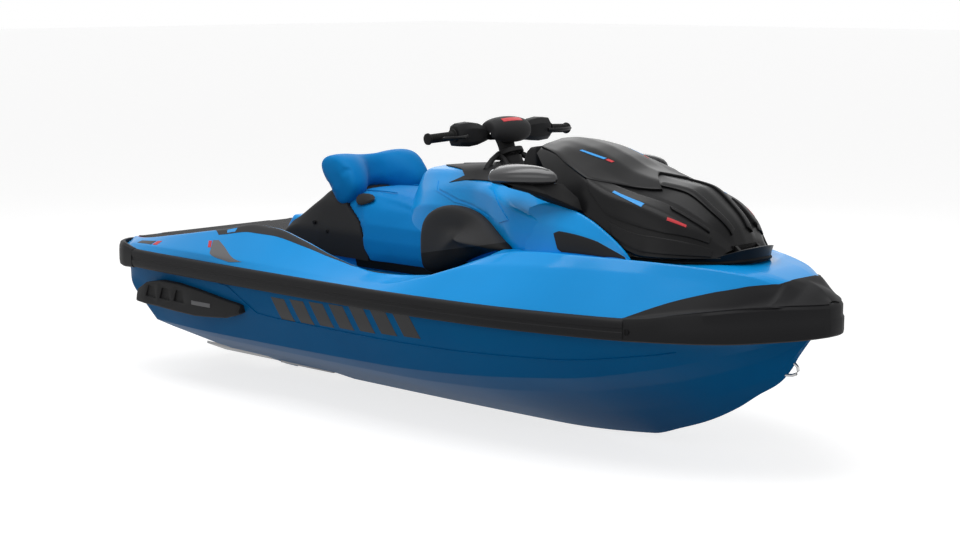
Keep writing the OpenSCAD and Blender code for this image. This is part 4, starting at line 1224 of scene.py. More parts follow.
# ---------------------------------------------------------------- seat
@dataclass
class Seat:
    """A black base, the blue saddle and the wrap-round bolster behind the rider."""

    split: Knots = ((292, -300), (300, -328), (342, -366), (397, -383), (444, -415), (501, -500),
                    (568, -556), (700, -600))
    crown_up: Knots = ((-640, 566), (-500, 560), (-369, 563), (-307, 562), (-240, 556), (-150, 540),
                       (0, 512), (20, 500))
    crown_half: Knots = ((-610, 150), (-420, 138), (-300, 132), (-150, 150), (0, 168))
    rim_up: Knots = ((-610, 522), (-420, 520), (-300, 516), (-150, 504), (0, 488))
    pinch: Knots = ((0, 1), (165, 1.03), (188, 1.02), (206, 0.98), (216, 0.88), (219, 0.72))
    # Painted shade: the section of the black strip on the deck wall below the saddle.
    skirt: Places = ((212, 270), (236, 272), (244, 300), (240, 345), (212, 360))
    simulated_cap_mm: float = 7.0

    def build(self) -> None:
        """Makes the base first, then the cushions on it."""
        self.base()
        self.saddle()
        self.bolster()

    def base(self) -> None:
        """The grained base: a tail that rises to the bolster, and below the saddle a black strip of painted
        shade.
        """
        top: Knots = ((-905, 396), (-880, 410), (-815, 440), (-740, 498), (-640, 566), (-340, 566))
        shell = Shell([Line(level(0), top), Line(((-905, 120), (-640, 150)), raised(top, -5), 0.3),
                       Line(((-905, 160), (-820, 206), (-640, 208)),
                            ((-905, 388), (-820, 426), (-640, 512), (-340, 512)), 0.22),
                       Line(((-905, 200), (-840, 234), (-640, 244)),
                            ((-905, 366), (-760, 404), (-340, 404)), 0.18),
                       Line(((-905, 206), (-840, 238), (-640, 246)),
                            ((-905, 320), (-860, 312), (-340, 300)))])
        rows = shell.rows(spread(-903, -345, 52), shell.places(5, 3))
        for row in rows:
            low = max(270.0, min(438.0, row[0].z))
            row.insert(0, Vector((row[0].x, row[0].y * 0.93, low)))
            row.append(Vector((row[-1].x, -row[0].y, low)))
        thing = new_object("seat_tail", Mesh().solid(rows))
        cut(thing, [self.joint_cutter(1, ((-200, 200), (-301, 200)), ((-620, 760), (-200, 760)))])
        place_piece(thing, TRIM_ABS, "craft", ["seat_pedestal"])
        for side in Side:
            k = side.value
            # Painted shade: a black strip on the deck wall below the saddle, where shade falls.
            skirt = [[Vector((x, k * y, z)) for y, z in self.skirt] for x in spread(-420, 320, 40)]
            make(f"seat_skirt_{side.tag}", Mesh().solid(skirt), SHADED_ABS)
            for n, (x, z) in enumerate(((-666, 426), (-586, 397))):
                make(f"tail_screw_{n}_{side.tag}", rod((x, k * 236, z), (x, k * 247, z), 8, 16), SHADED_ABS)

    def joint_cutter(self, off: float, below: Places, above: Places) -> Mesh:
        """What is cut away on one side of the slanted joint between saddle and tail.

        Args:
            off: How far forward of the joint's line the cut runs.
            below: Corners (x, z) of the cutter before that line.
            above: Corners after it.

        Returns:
            A prism right across the seat.
        """
        line = [(x + off, z) for z, x in self.split]
        return Mesh().prism([Vector((x, -400, z)) for x, z in (*below, *line, *above)], Vector((0, 800, 0)))

    def saddle(self) -> None:
        """The one-piece saddle, hollow for the rider and rising on to the tank."""
        rings = [self.saddle_ring(x) for x in spread(-610, 14, 40)]
        thing = new_object("saddle_cushion", Mesh().solid(rings), 0.5)
        cut(thing, [self.joint_cutter(-3, ((-900, 200), (-300, 200)), ((-900, 760),))])
        self.plump(thing)
        place_piece(thing, SEAT_VINYL, "craft", ["seat_saddle"])
        seam = Mesh()
        for k in (1, -1):
            path = [Vector((x, k * (118 + 14 * math.sin((x + 560) / 110)), curve(self.crown_up, x) + 2.5))
                    for x in spread(-470, -300, 22)]
            seam.tube(path, [2.2] * len(path), 8)
        make("saddle_seam", seam, SEAT_VINYL)

    def saddle_ring(self, x: float) -> list[Vector]:
        """The saddle's section at x, as a ring."""
        z = curve(self.crown_up, x)
        wide, rim = curve(self.crown_half, x), curve(self.rim_up, x)
        port = [Vector((x, y, up)) for y, up in
                ((0, z), (wide * 0.5, z - 1), (wide, z - 8), (wide + 40, (z + rim) / 2 + 6),
                 (205, rim - 16), (234, 440), (247, 380), (249, 330), (246, 300), (228, 294), (222, 300),
                 (212, 440.5), (0, 440.6))]
        return port + flipped(p for p in reversed(port) if p.y > 0)

    def bolster(self) -> None:
        """The bolster: wings that wrap forward each side of a hollow back."""
        middle = ((-640, 548), (-668, 604), (-676, 650), (-658, 684), (-620, 694), (-590, 686), (-572, 662),
                  (-564, 630), (-548, 580), (-580, 540))
        wing = ((-590, 532), (-638, 600), (-668, 654), (-658, 692), (-594, 704), (-532, 696), (-484, 650),
                (-446, 590), (-466, 540), (-535, 486))
        rings: Grid = []
        for y in (-219, -216, -206, -188, -160, -125, -85, -45, 0, 45, 85, 125, 160, 188, 206, 216, 219):
            u = min(1.0, max(0.0, (abs(y) - 40) / 115))
            u = u * u * (3 - 2 * u)
            pinch = curve(self.pinch, abs(y))
            ring = [Vector((a[0] + (b[0] - a[0]) * u, y, a[1] + (b[1] - a[1]) * u))
                    for a, b in zip(middle, wing)]
            heart = sum(ring, Vector()) / len(ring)
            rings.append([heart + (p - heart) * pinch for p in ring])
        thing = new_object("bolster_cushion", Mesh().solid(rings), 0.2)
        smooth(thing, 2)
        self.plump(thing)
        place_piece(thing, SEAT_VINYL, "craft", ["seat_bolster"])
        for side in Side:
            k = side.value
            face = [[Vector((x, k * y, z)) for x, y, z in row] for row in
                    (((-476, 204, 545), (-436, 196, 566), (-376, 184, 560)),
                     ((-440, 224, 506), (-392, 218, 520), (-344, 204, 540)))]
            back = [[p + Vector((0, -k * 14, -6)) for p in row] for row in face]
            make(f"bolster_tab_{side.tag}", Mesh().plate(face, back), PAD_VINYL, subdivide=1)

    def plump(self, thing: Thing) -> None:
        """Swells a cushion as foam under vinyl does, with a cap on how far a point moves.

        Args:
            thing: The cushion, a little smaller than it ends up.
        """
        remesh = thing.modifiers.new("even skin", "REMESH")
        remesh.mode, remesh.voxel_size = "VOXEL", 6 * MM
        settle(thing)
        start = [v.co.copy() for v in thing.data.vertices]
        cloth = thing.modifiers.new("vinyl", "CLOTH")
        vinyl = cloth.settings
        vinyl.use_pressure, vinyl.uniform_pressure_force, vinyl.quality = True, 4.0, 4
        vinyl.effector_weights.gravity = 0.0
        for tick in range(1, 21):
            bpy.context.scene.frame_set(tick)
        ready = thing.evaluated_get(bpy.context.evaluated_depsgraph_get())
        ends = [v.co.copy() for v in ready.data.vertices]
        thing.modifiers.clear()
        bpy.context.scene.frame_set(1)
        cap = self.simulated_cap_mm * MM
        for vertex, a, b in zip(thing.data.vertices, start, ends):
            move = b - a
            vertex.co = a + (move if move.length <= cap else move.normalized() * cap)
        relax = thing.modifiers.new("relaxed vinyl", "SMOOTH")
        relax.factor, relax.iterations = 0.5, 6
        settle(thing)


# ---------------------------------------------------------------- hood and its tray
@dataclass
class Hood:
    """The black hood: a raised cowl behind a sculpted nose, hinged at the bow."""

    ridge_up: Knots = ((425, 802), (532, 813), (650, 798), (740, 770), (859, 722), (963, 700), (1081, 682),
                       (1189, 616), (1250, 560), (1276, 510))
    ridge_out: Knots = ((425, 44), (550, 66), (740, 84), (963, 82), (1100, 76), (1200, 68), (1276, 52))
    valley_out: Knots = ((425, 70), (550, 110), (740, 150), (963, 156), (1100, 130), (1200, 108), (1276, 74))
    valley_up: Knots = ((425, 790), (550, 790), (722, 744), (859, 686), (963, 656), (1081, 628), (1189, 574),
                        (1250, 528), (1276, 498))
    shoulder_out: Knots = ((425, 95), (550, 158), (650, 205), (790, 248), (880, 258), (1060, 236),
                           (1189, 184), (1276, 112))
    shoulder_up: Knots = ((425, 780), (550, 772), (650, 742), (790, 692), (880, 662), (1060, 616),
                          (1189, 556), (1276, 490))
    rim_out: Knots = ((425, 116), (550, 198), (650, 243), (790, 283), (880, 296), (1060, 288), (1189, 232),
                      (1276, 148))
    rim_up: Knots = ((425, 764), (550, 702), (650, 658), (790, 592), (880, 532), (1000, 478), (1060, 465),
                     (1276, 462))
    wall_mm: float = 9.0
    rim_floor: float = 462.0
    cowl_edge: Knots = ((432, 2.9), (600, 3.0), (765, 2.95), (877, 2.16), (1007, 1.44))
    panels: tuple[Panel, ...] = (
        Panel("hood_flank", ((748, 2.75), (860, 2.35), (1010, 2.2), (1130, 2.35), (1235, 2.7)),
              ((800, 3.25), (900, 3.5), (1010, 3.45), (1120, 3.4), (1238, 3.2)), 6.0, (12, 8), HOOD_GLOSS,
              1.0, 2.5),
        Panel("hood_lower_flank", ((905, 3.64), (1010, 3.60), (1120, 3.52), (1250, 3.4)),
              ((930, 3.9), (1010, 3.92), (1120, 3.92), (1256, 3.9)), 5.0, (6, 8), HOOD_GLOSS, 1.0, 2.0),
        Panel("nose_ridge", ((975, 0.86), (1060, 0.80), (1180, 0.74), (1255, 0.66)),
              ((985, 1.22), (1070, 1.18), (1185, 1.14), (1262, 1.10)), 8.0, (6, 8), HOOD_GLOSS, 2.0, 3.0),
        Panel("nose_fin", ((1085, 2.42), (1215, 2.40)), ((1100, 2.56), (1225, 2.62)), 13.0, (3, 10),
              HOOD_GLOSS, 2.0, 3.0),
        Panel("hood_side_bar", ((890, 2.76), (1022, 2.88)), ((893, 2.90), (1020, 3.02)), 7.0, (3, 8),
              BLUE_FILM, 1.0),
        Panel("hood_red_bar", ((1112, 3.00), (1170, 2.95)), ((1114, 3.09), (1172, 3.04)), 7.0, (3, 6),
              RED_FILM, 1.0),
        Panel("cowl_bar", ((640, 1.62), (742, 1.22)), ((636, 1.80), (738, 1.40)), 10.2, (3, 8), BLUE_FILM,
              1.0),
        Panel("cowl_bar_tip", ((748, 1.20), (772, 1.12)), ((744, 1.38), (768, 1.30)), 10.2, (3, 3),
              RED_FILM, 1.0))
    chevron: Places = ((-66, 478), (-40, 470), (40, 470), (66, 478), (50, 497), (0, 488), (-50, 497))

    @property
    def shell(self) -> Shell:
        """The hood's skin from its centre down to the rim."""
        return Shell([Line(level(0), self.ridge_up), Line(self.ridge_out, raised(self.ridge_up, -9), 0.12),
                      Line(self.valley_out, self.valley_up, 0.12),
                      Line(self.shoulder_out, self.shoulder_up, 0.14),
                      Line(self.rim_out, self.rim_up)])

    def build(self) -> None:
        """Makes the hollow moulding, closed at the nose, with its wall under the skin."""
        shell, floor = self.shell, self.rim_floor
        outside = shell.rows(spread(426, 1275, 84), shell.places(4, 4))
        outside.append([Vector((1281, p.y * 0.97, floor + (p.z - floor) * 0.62)) for p in outside[-1]])
        inside = [[Vector((p.x, p.y * (1 - self.wall_mm / max(60.0, abs(row[0].y))),
                           max(floor - 2.5, p.z - self.wall_mm))) for p in row] for row in outside]
        for row in inside[-2:]:
            for p in row:
                p.x -= self.wall_mm
        make("hood_moulding", Mesh().plate(outside, inside), HOOD_GLOSS, "hood_lid",
             ["hood_crown_port", "hood_crown_starboard", "hood_cheek_port", "hood_cheek_starboard"])

    def dress(self) -> None:
        """Adds the cowl, the side sculpture, the plain bars and the nose chevron."""
        shell = self.shell
        places = []
        for u in spread(0, 1, 42):
            out, mid = 432 + 575 * u, 446 + 459 * u
            places.append([(mid + (out - mid) * abs(v) ** 1.3, v * curve(self.cowl_edge, out))
                           for v in spread(-1, 1, 41)])
        make("hood_cowl", patch(shell, places, 9.0, 2.0), HOOD_GLOSS, "hood_lid", rounding_mm=3.0)
        for side in Side:
            for panel in self.panels:
                panel.lay(shell, side, "hood_lid")
        chevron = Mesh().prism([Vector((1279, y, z)) for y, z in self.chevron], Vector((7, 0, 0)))
        make("nose_chevron", chevron, SHADED_ABS, "hood_lid", rounding_mm=1.5)


@dataclass
class HoodTray:
    """The black tray under the hood: its floor, its rolled edge and the lip round the nose."""

    plan: Knots = ((648, 262), (760, 272), (900, 268), (1050, 250), (1180, 205), (1258, 150))
    nose: Table = ((1292, 118, 446), (1322, 84, 450), (1338, 44, 452), (1342, 0, 453))
    lip_rise: Knots = ((1150, 0), (1250, 12), (1300, 30), (1342, 40))
    lip_from: int = 34
    floor_up: float = 442.0

    def build(self) -> None:
        """Makes the rolled edge, the floor with its opening over the storage bin, and the nose lip."""
        port = [Vector((x, curve(self.plan, x) - 4, 444)) for x in spread(652, 1258, 40)]
        port += [Vector(place) for place in self.nose]
        starboard = flipped(reversed(port[:-1]))
        # Painted shade: the rolled edge and the floor take the ABS painted blacker, under the hood.
        make("tray_rolled_edge", Mesh().tube(port + starboard, [7.5] * (2 * len(port) - 1), 12), SHADED_ABS)
        floor = new_object("tray_moulding", Mesh().prism(
            [p + Vector((0, 0, self.floor_up - p.z)) for p in port + starboard], Vector((0, 0, 5))))
        low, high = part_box("storage_bin")
        cut(floor, [block((low.x / MM + 2, low.y / MM + 2, 400), (high.x / MM - 2, high.y / MM - 2, 500))])
        place_piece(floor, SHADED_ABS, "craft", ["hood_tray"])
        rows: Grid = []
        for p in port[self.lip_from:] + starboard[:-self.lip_from]:
            out = Vector((max(0.0, (p.x - 1200) / 170), p.y / 220, 0)).normalized()
            rise = curve(self.lip_rise, p.x)
            rows.append(upright(p, out, ((3, 0), (6, rise * 0.5 + 2), (12, rise + 4), (7, rise + 5),
                                         (-1, rise * 0.5 + 2), (-3, 0))))
        make("tray_nose_lip", Mesh().solid(rows), HOOD_GLOSS)


@dataclass
class SideWings:
    """The blue flanks that run forward from the tank cover beside the hood, with a vent low in each."""

    inner: Knots = ((560, 300), (640, 296), (745, 299), (834, 303), (919, 306), (1000, 302), (1020, 298))
    crest_up: Knots = ((560, 590), (640, 612), (700, 612), (745, 603), (834, 575), (919, 533), (1000, 474),
                       (1020, 450))
    foot_out: Knots = ((560, 330), (640, 338), (745, 350), (834, 348), (919, 338), (1000, 320), (1020, 312))

    vent: Panel = Panel("vent_panel", ((708, 2.22), (735, 2.08), (900, 1.92), (1004, 2.05)),
                        ((732, 2.74), (752, 2.84), (930, 2.74), (1010, 2.40)), 2.0, (8, 10), TRIM_ABS, 1.0,
                        0.8, ("side_vent",))

    @property
    def shell(self) -> Shell:
        """The flank's outer face, from its crest down to the deck."""
        bulge = [(x, 444 + (z - 444) * 0.55) for x, z in self.crest_up]
        return Shell([Line(self.inner, self.crest_up), Line(raised(self.inner, 8), self.crest_up, 0.3),
                      Line(raised(self.foot_out, -8), bulge, 0.2),
                      Line(self.foot_out, level(439))])

    def build(self) -> None:
        """Makes each flank and the dark vent panel low in it."""
        shell = self.shell
        rows = []
        for x in spread(562, 1019, 46):
            row = [shell.point(x, s) for s in shell.places(4, 4)]
            rows.append(row + [Vector((x, row[0].y, 439))])
        on_both_sides("tank_flank", Mesh().solid(rows), DECK_BLUE)
        for side in Side:
            self.vent.lay(shell, side)


# ---------------------------------------------------------------- mirrors and gauge
@dataclass
class Mirrors:
    """Mirror housings that taper outward on arms from the hood, with the glass facing the rider."""

    sections: Table = (
        (398, 447, 468, 688, 702), (392, 444, 516, 678, 714), (372, 441, 592, 668, 730),
        (342, 441, 662, 660, 742),
        (314, 442, 706, 656, 747), (298, 448, 700, 664, 736))
    profile: Places = ((0.0, 0.10), (0.0, 0.50), (0.0, 0.88), (0.10, 0.96), (0.34, 1.0), (0.62, 0.99),
                       (0.86, 0.90), (0.98, 0.68), (1.0, 0.44), (0.94, 0.27), (0.66, 0.14), (0.38, 0.05),
                       (0.12, 0.0))
    arm: Table = ((296, 520, 800, 590), (316, 486, 776, 604), (350, 456, 690, 640),
                                          (384, 446, 560, 664))
    glass_middle: tuple[float, float] = (344.0, 697.0)
    glass_half: tuple[float, float] = (42.0, 29.0)

    def build(self) -> None:
        """Makes the housing, the arm below it and the glass."""
        rings = [[Vector((aft + (fore - aft) * a, y, low + (high - low) * b)) for a, b in self.profile]
                 for y, aft, fore, low, high in self.sections]
        on_both_sides("mirror_housing", Mesh().solid(rings), MIRROR_GLOSS, nodes=["mirror"], subdivide=1)
        arm: Grid = []
        for y, aft, fore, low in self.arm:
            section = ((aft, 680), (fore - 90, 684), (fore - 20, max(low + 12, 640 - (y - 296))),
                       (fore, low + 8), (fore - 26, low), (aft + (fore - aft) * 0.4, low + 26))
            arm.append([Vector((x, y, z)) for x, z in section])
        on_both_sides("mirror_arm", Mesh().solid(arm), SHADED_ABS, rounding_mm=2.0)
        (middle, up), (wide, tall) = self.glass_middle, self.glass_half
        glass = [[Vector((x, middle + a, up + b)) for a, b in oval(wide * share, tall * share, 0.72, 40)]
                 for x, share in ((438.5, 0.86), (435.5, 0.86), (434.5, 0.8))]
        on_both_sides("mirror_pane", Mesh().solid(glass), MIRROR_SILVER, nodes=["mirror_glass"])


@dataclass
class Gauge:
    """The instrument pod on the cowl in front of the bars."""

    profile: Places = ((332, 670), (331, 700), (335, 732), (352, 768), (366, 780), (396, 785), (402, 760),
                       (402, 670))
    heart: tuple[float, float] = (372, 728)
    ends: Places = ((40, 1.0), (78, 1.0), (88, 0.93), (92, 0.80))
    glass_half: float = 66.0

    def build(self) -> None:
        """Makes the pod with rounded ends, and the plain dark display in its sloping face."""
        sections = [(-y, share) for y, share in reversed(self.ends[1:])] + [(-40, 1.0), (0, 1.0), *self.ends]
        rings = [[Vector((x, y, z)) for x, z in scaled(self.profile, self.heart, share)]
                 for y, share in sections]
        make("gauge_pod", Mesh().solid(rings), TRIM_ABS, stands_for=["gauge_shroud"], rounding_mm=3.0)
        low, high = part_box("gauge_display")
        foot, top = (low.x / MM, low.z / MM + 3), (high.x / MM - 2, high.z / MM - 2)
        slope = [Vector((x, y, z)) for (x, z), y in ((foot, -self.glass_half), (foot, self.glass_half),
                                                     (top, self.glass_half), (top, -self.glass_half))]
        out = (slope[1] - slope[0]).cross(slope[3] - slope[0]).normalized()
        if out.x > 0:
            out = -out
        middle = sum(slope, Vector()) / 4
        rings = [[p - out * 3 for p in slope], [p + out * 1.5 for p in slope],
                 [mix(middle, p, 0.96) + out * 2.5 for p in slope]]
        make("gauge_screen", Mesh().solid(rings), DISPLAY_GLASS, stands_for=["gauge_display"])


# ---------------------------------------------------------------- steering
@dataclass
class Steering:
    """The legged riser, the bar with its grips, the switch pods, the levers and the padded top."""

    axis: tuple[float, float, float] = (-0.406737, 0.0, 0.913545)
    bar_x: float = 150.4
    bar_z: float = 802.3
    neck_half: tuple[Knots, Knots] = (((0, 38), (0.45, 28), (1, 23)), ((0, 40), (0.45, 33), (1, 44)))
    collar: Places = ((45, -9), (45, 7), (49, 10), (56, 8), (58, -8), (52, -11))
    bar_ends: Table = ((-20, -386, 11), (-12, -294, 16), (-4, -202, 20), (-2, -150, 13),
                                               (0, -70, 2), (0, 0, 0))
    pod_outline: Places = ((-0.72, -1), (0.55, -1), (1, -0.62), (1, 0.5), (0.62, 0.96), (-0.2, 1),
                           (-0.86, 0.72), (-1, 0.1), (-0.94, -0.7))
    pod_sections: Table = ((-1.0, 0.70, 0), (-0.9, 0.92, 0), (-0.3, 1.0, 0), (0.2, 0.9, -1),
                           (0.75, 0.60, -4), (1.0, 0.40, -8))
    pad_outline: Places = ((-40, 26), (-48, 44), (-36, 64), (-6, 78), (30, 78), (58, 62), (74, 34), (74, 2),
                           (60, -18), (42, -18), (38, 8), (20, 20))
    pad_heart: tuple[float, float] = (18, 34)
    pad_ends: Places = ((0, 1.02), (30, 1.0), (66, 0.90), (96, 0.70), (102, 0.52))

    def along(self, x: float, y: float, z: float) -> Vector:
        """A point given from the middle of the bar."""
        return Vector((self.bar_x + x, y, self.bar_z + z))

    def build(self) -> None:
        """Makes everything that turns with the bar, and the ring it stands on."""
        self.riser()
        self.bar()
        self.pods()
        self.pad()
        self.levers()

    def riser(self) -> None:
        """A cast neck on the column, and the arch whose two legs stand on the cowl beside it."""
        axis, foot = Vector(self.axis), Vector((196, 0, 700))
        neck: Grid = []
        for t in spread(0, 1, 10):
            heart = foot + axis * (21 + 91 * t)
            deep, wide = (curve(half, t) for half in self.neck_half)
            neck.append([heart + Vector((x, y, 0)) for x, y in oval(deep, wide, 0.75, 28)])
        make("riser_casting", Mesh().solid(neck), TRIM_ABS, "handlebars", ["steering_riser"])
        heart = foot + axis * 46
        ring: Grid = []
        for n in range(36):
            a = 2 * math.pi * n / 36
            out = Vector((math.cos(a) * self.axis[2], math.sin(a), -math.cos(a) * self.axis[0]))
            ring.append([heart + out * r + axis * h for r, h in self.collar])
        ring.append(ring[0])
        arch = Mesh().grid(ring, ring=True)
        for k in (1, -1):
            arch.tube([heart + Vector((0, k * 52, 0)), heart + Vector((4, k * 78, -10)),
                       Vector((188, k * 104, 722)), Vector((192, k * 128, 702)),
                       Vector((194, k * 140, 686))], [11, 10, 10, 12, 14], 14)
            arch.tube([heart + Vector((0, k * 50, -4)), Vector((214, k * 62, 724)),
                       Vector((236, k * 70, 700))], [9, 9, 11], 12)
        make("steering_arch", arch, TRIM_ABS)

    def bar(self) -> None:
        """The bent bar and its two grips, each with ribs between flanges."""
        path = [self.along(*place) for place in self.bar_ends]
        path += flipped(reversed(path[:-1]))
        make("bent_bar", Mesh().tube(path, [11.0] * len(path), 20), BLACK_TUBE, "handlebars", ["handlebar"])
        tip, root = self.along(-20, 386, 11), self.along(-4, 201.8, 20)
        along = (tip - root).normalized()
        end = tip + along * 4
        stops = [(0, 14), (2, 21), (8, 22), (11, 18.5)]
        for n in range(13):
            rib = 14 + n * 8
            stops += [(rib, 17.2), (rib + 3, 17.2), (rib + 4, 16.0), (rib + 7, 16.0)]
        stops += [(120, 18), (123, 25), (127, 26), (129, 22), (129.5, 12)]
        grip = Mesh().tube([end - along * at for at, _ in stops], [r for _, r in stops], 28)
        on_both_sides("ribbed_grip", grip, GRIP_RUBBER, "handlebars", ["grip"])

    def pods(self) -> None:
        """A faceted switch pod each side, with buttons that face the rider."""
        for side in Side:
            centre, half = Vector((138, side.value * 166, 822)), Vector((36, 90, 46))
            rings: Grid = []
            for t, share, drop in self.pod_sections:
                y = centre.y - half.y * t * side.value
                rings.append([Vector((centre.x + half.x * share * p, y,
                                      centre.z + half.z * share * q + drop)) for p, q in self.pod_outline])
            make(f"switch_pod_{side.tag}", Mesh().solid(rings), TRIM_ABS, "handlebars",
                 [f"control_pod_{side.tag}"], rounding_mm=1.5)
            keys = Mesh()
            face = centre.x - half.x * 0.93
            for up in (-14, 8):
                keys.tube([Vector((face - out, centre.y, centre.z + up)) for out in (0, 3, 4.5, 5)],
                          [8, 8, 7, 4], 16)
            finish = GRIP_RUBBER if side is Side.PORT else RED_FILM
            make(f"pod_buttons_{side.tag}", keys, finish, "handlebars")

    def pad(self) -> None:
        """The padded crest over the bar's clamp, with its red strip and four clamp bolts."""
        sections = [(-y, share) for y, share in reversed(self.pad_ends[1:])] + list(self.pad_ends)
        rings = [[self.along(x, y, z) for x, z in scaled(self.pad_outline, self.pad_heart, share)]
                 for y, share in sections]
        thing = new_object("bar_pad", Mesh().solid(rings))
        smooth(thing, 2)
        place_piece(thing, PAD_VINYL, "handlebars", ["steering_pad"])
        strip: Grid = []
        for y in spread(-52, 52, 14):
            share = 1.02 - 0.09 * (abs(y) / 60) ** 2
            row = scaled(((34, 72.5), (40, 69.8), (46, 66.4), (52, 62.4)), self.pad_heart, share)
            strip.append([self.along(x, y, z) for x, z in row])
        over, under = ([[p + Vector(off) for p in row] for row in strip]
                       for off in ((0.5, 0, 1.2), (-1, 0, -3)))
        make("bar_pad_strip", Mesh().plate(over, under), RED_FILM, "handlebars")
        bolts = Mesh()
        for y in (-34, 34):
            for x in (-14, 14):
                bolts.join(rod(self.along(x, y, 4), self.along(x, y, 17), 6.5, 6))
        make("clamp_bolts", bolts, STAINLESS, "handlebars")

    def levers(self) -> None:
        """Curved cast levers, each inside the box of the node it stands for."""
        for side, node in ((Side.STARBOARD, "throttle_lever"), (Side.PORT, "brake_lever")):
            low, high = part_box(node)
            a, b = low / MM, high / MM
            inner, outer = (a.y, b.y) if side is Side.PORT else (b.y, a.y)
            up = (a.z + b.z) / 2
            rows: Grid = []
            for t in spread(0, 1, 20):
                y = inner + (outer - inner) * t
                bow = a.x + (b.x - a.x) * (0.30 + 0.62 * math.sin(math.pi * min(1, t * 1.02)) ** 0.8) - 3
                half = curve(((0, 8), (0.5, 6), (0.9, 6.5), (1, 4)), t)
                rows.append([Vector((bow + x, y, up + z)) for x, z in oval(4.5, half, 1, 14)])
            make(f"{node}_casting", Mesh().solid(rows), BLACK_TUBE, "handlebars", [node])


# ---------------------------------------------------------------- under the waterline
@dataclass
class Sponsons:
    """The long planing fins low on each side, with dark cut-outs and a pale inset."""

    stations: Table = (
        (-1400, 62, 116), (-1340, 58, 148), (-1250, 56, 165), (-1130, 50, 165), (-1000, 46, 155),
        (-880, 54, 140),
        (-800, 62, 130), (-750, 78, 126), (-722, 90, 120))

    fullness: Knots = ((-1400, 0.55), (-1330, 0.9), (-1200, 1), (-900, 1), (-722, 0.6))

    def build(self) -> None:
        """Makes each sponson from the box of its node, then its cut-outs and its pale inset."""
        low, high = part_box("sponson_port")
        inside, outside = low.y / MM, high.y / MM
        rows: Grid = []
        for x, bottom, top in self.stations:
            face = outside - 6 - 12 * (1 - curve(self.fullness, x))
            rows.append([Vector((x, y, z)) for y, z in
                         ((inside + 4, bottom + 4), (face - 14, bottom + 1), (face, bottom),
                          (face + 5, bottom + 6), (face + 2, (bottom + top) / 2), (face - 4, top - 4),
                          (face - 12, top), (inside + 4, top - 2))])
        fin, pocket = Mesh().solid(rows), Mesh()
        for x in (-1330, -1235, -1140):
            pocket.prism([Vector((x + along, outside - 13, z)) for along, z in
                          ((0, 92), (70, 90), (58, 138), (14, 138))], Vector((0, 40, 0)))
        inset: Grid = [[Vector((x, outside - 1.5 - 0.02 * abs(x + 950), z)) for z in (92, 100, 108)]
                       for x in spread(-1020, -900, 8)]
        for side in Side:
            if side is Side.STARBOARD:
                fin, pocket, inset = fin.mirrored(), pocket.mirrored(), [flipped(row) for row in inset]
            thing = new_object(f"sponson_fin_{side.tag}", fin)
            cut(thing, [pocket])
            round_edges(thing, 2.0)
            place_piece(thing, TRIM_ABS, "craft", [f"sponson_{side.tag}"])
            back = [[p - Vector((0, side.value * 6, 0)) for p in row] for row in inset]
            make(f"sponson_inset_{side.tag}", Mesh().plate(inset, back), GREY_FILM)


@dataclass
class CarriedOver:
    """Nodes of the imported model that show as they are, with the finish of each."""

    finishes: tuple[tuple[str, Finish], ...] = (
        ("pump_housing", CAST_ALLOY), ("steering_nozzle", CAST_ALLOY), ("reverse_bucket", CAST_ALLOY),
        ("ride_plate", CAST_ALLOY), ("intake_grate", ANODISED), ("impeller", STAINLESS),
        ("drive_shaft", STAINLESS),
        ("engine_block", ENGINE_ENAMEL), ("stern_eye_port", STAINLESS),
        ("stern_eye_starboard", STAINLESS), ("storage_bin", SHADED_ABS),
        ("hood_hinge", BLACK_TUBE), ("steering_base", TRIM_ABS))

    def dress(self) -> None:
        """Gives each node its material."""
        for node, finish in self.finishes:
            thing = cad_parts[node]
            thing.data.materials.clear()
            thing.data.materials.append(finish.material())
            LOG.info("%s: kept, %s", node, finish.name)


@dataclass
class Fittings:
    """The towing hoop on the stem."""

    bar_mm: float = 5.5
    hoop: Places = ((1442, 112), (1472, 114), (1492, 111), (1503, 101), (1505, 89), (1498, 77), (1482, 70),
                    (1460, 68), (1442, 68))

    def build(self) -> None:
        """Bends the hoop from one round bar, with both its ends in the stem."""
        path = [Vector((x, 0, z)) for x, z in self.hoop]
        make("bow_hoop", Mesh().tube(path, [self.bar_mm] * len(path), 16), STAINLESS, stands_for=["bow_eye"])


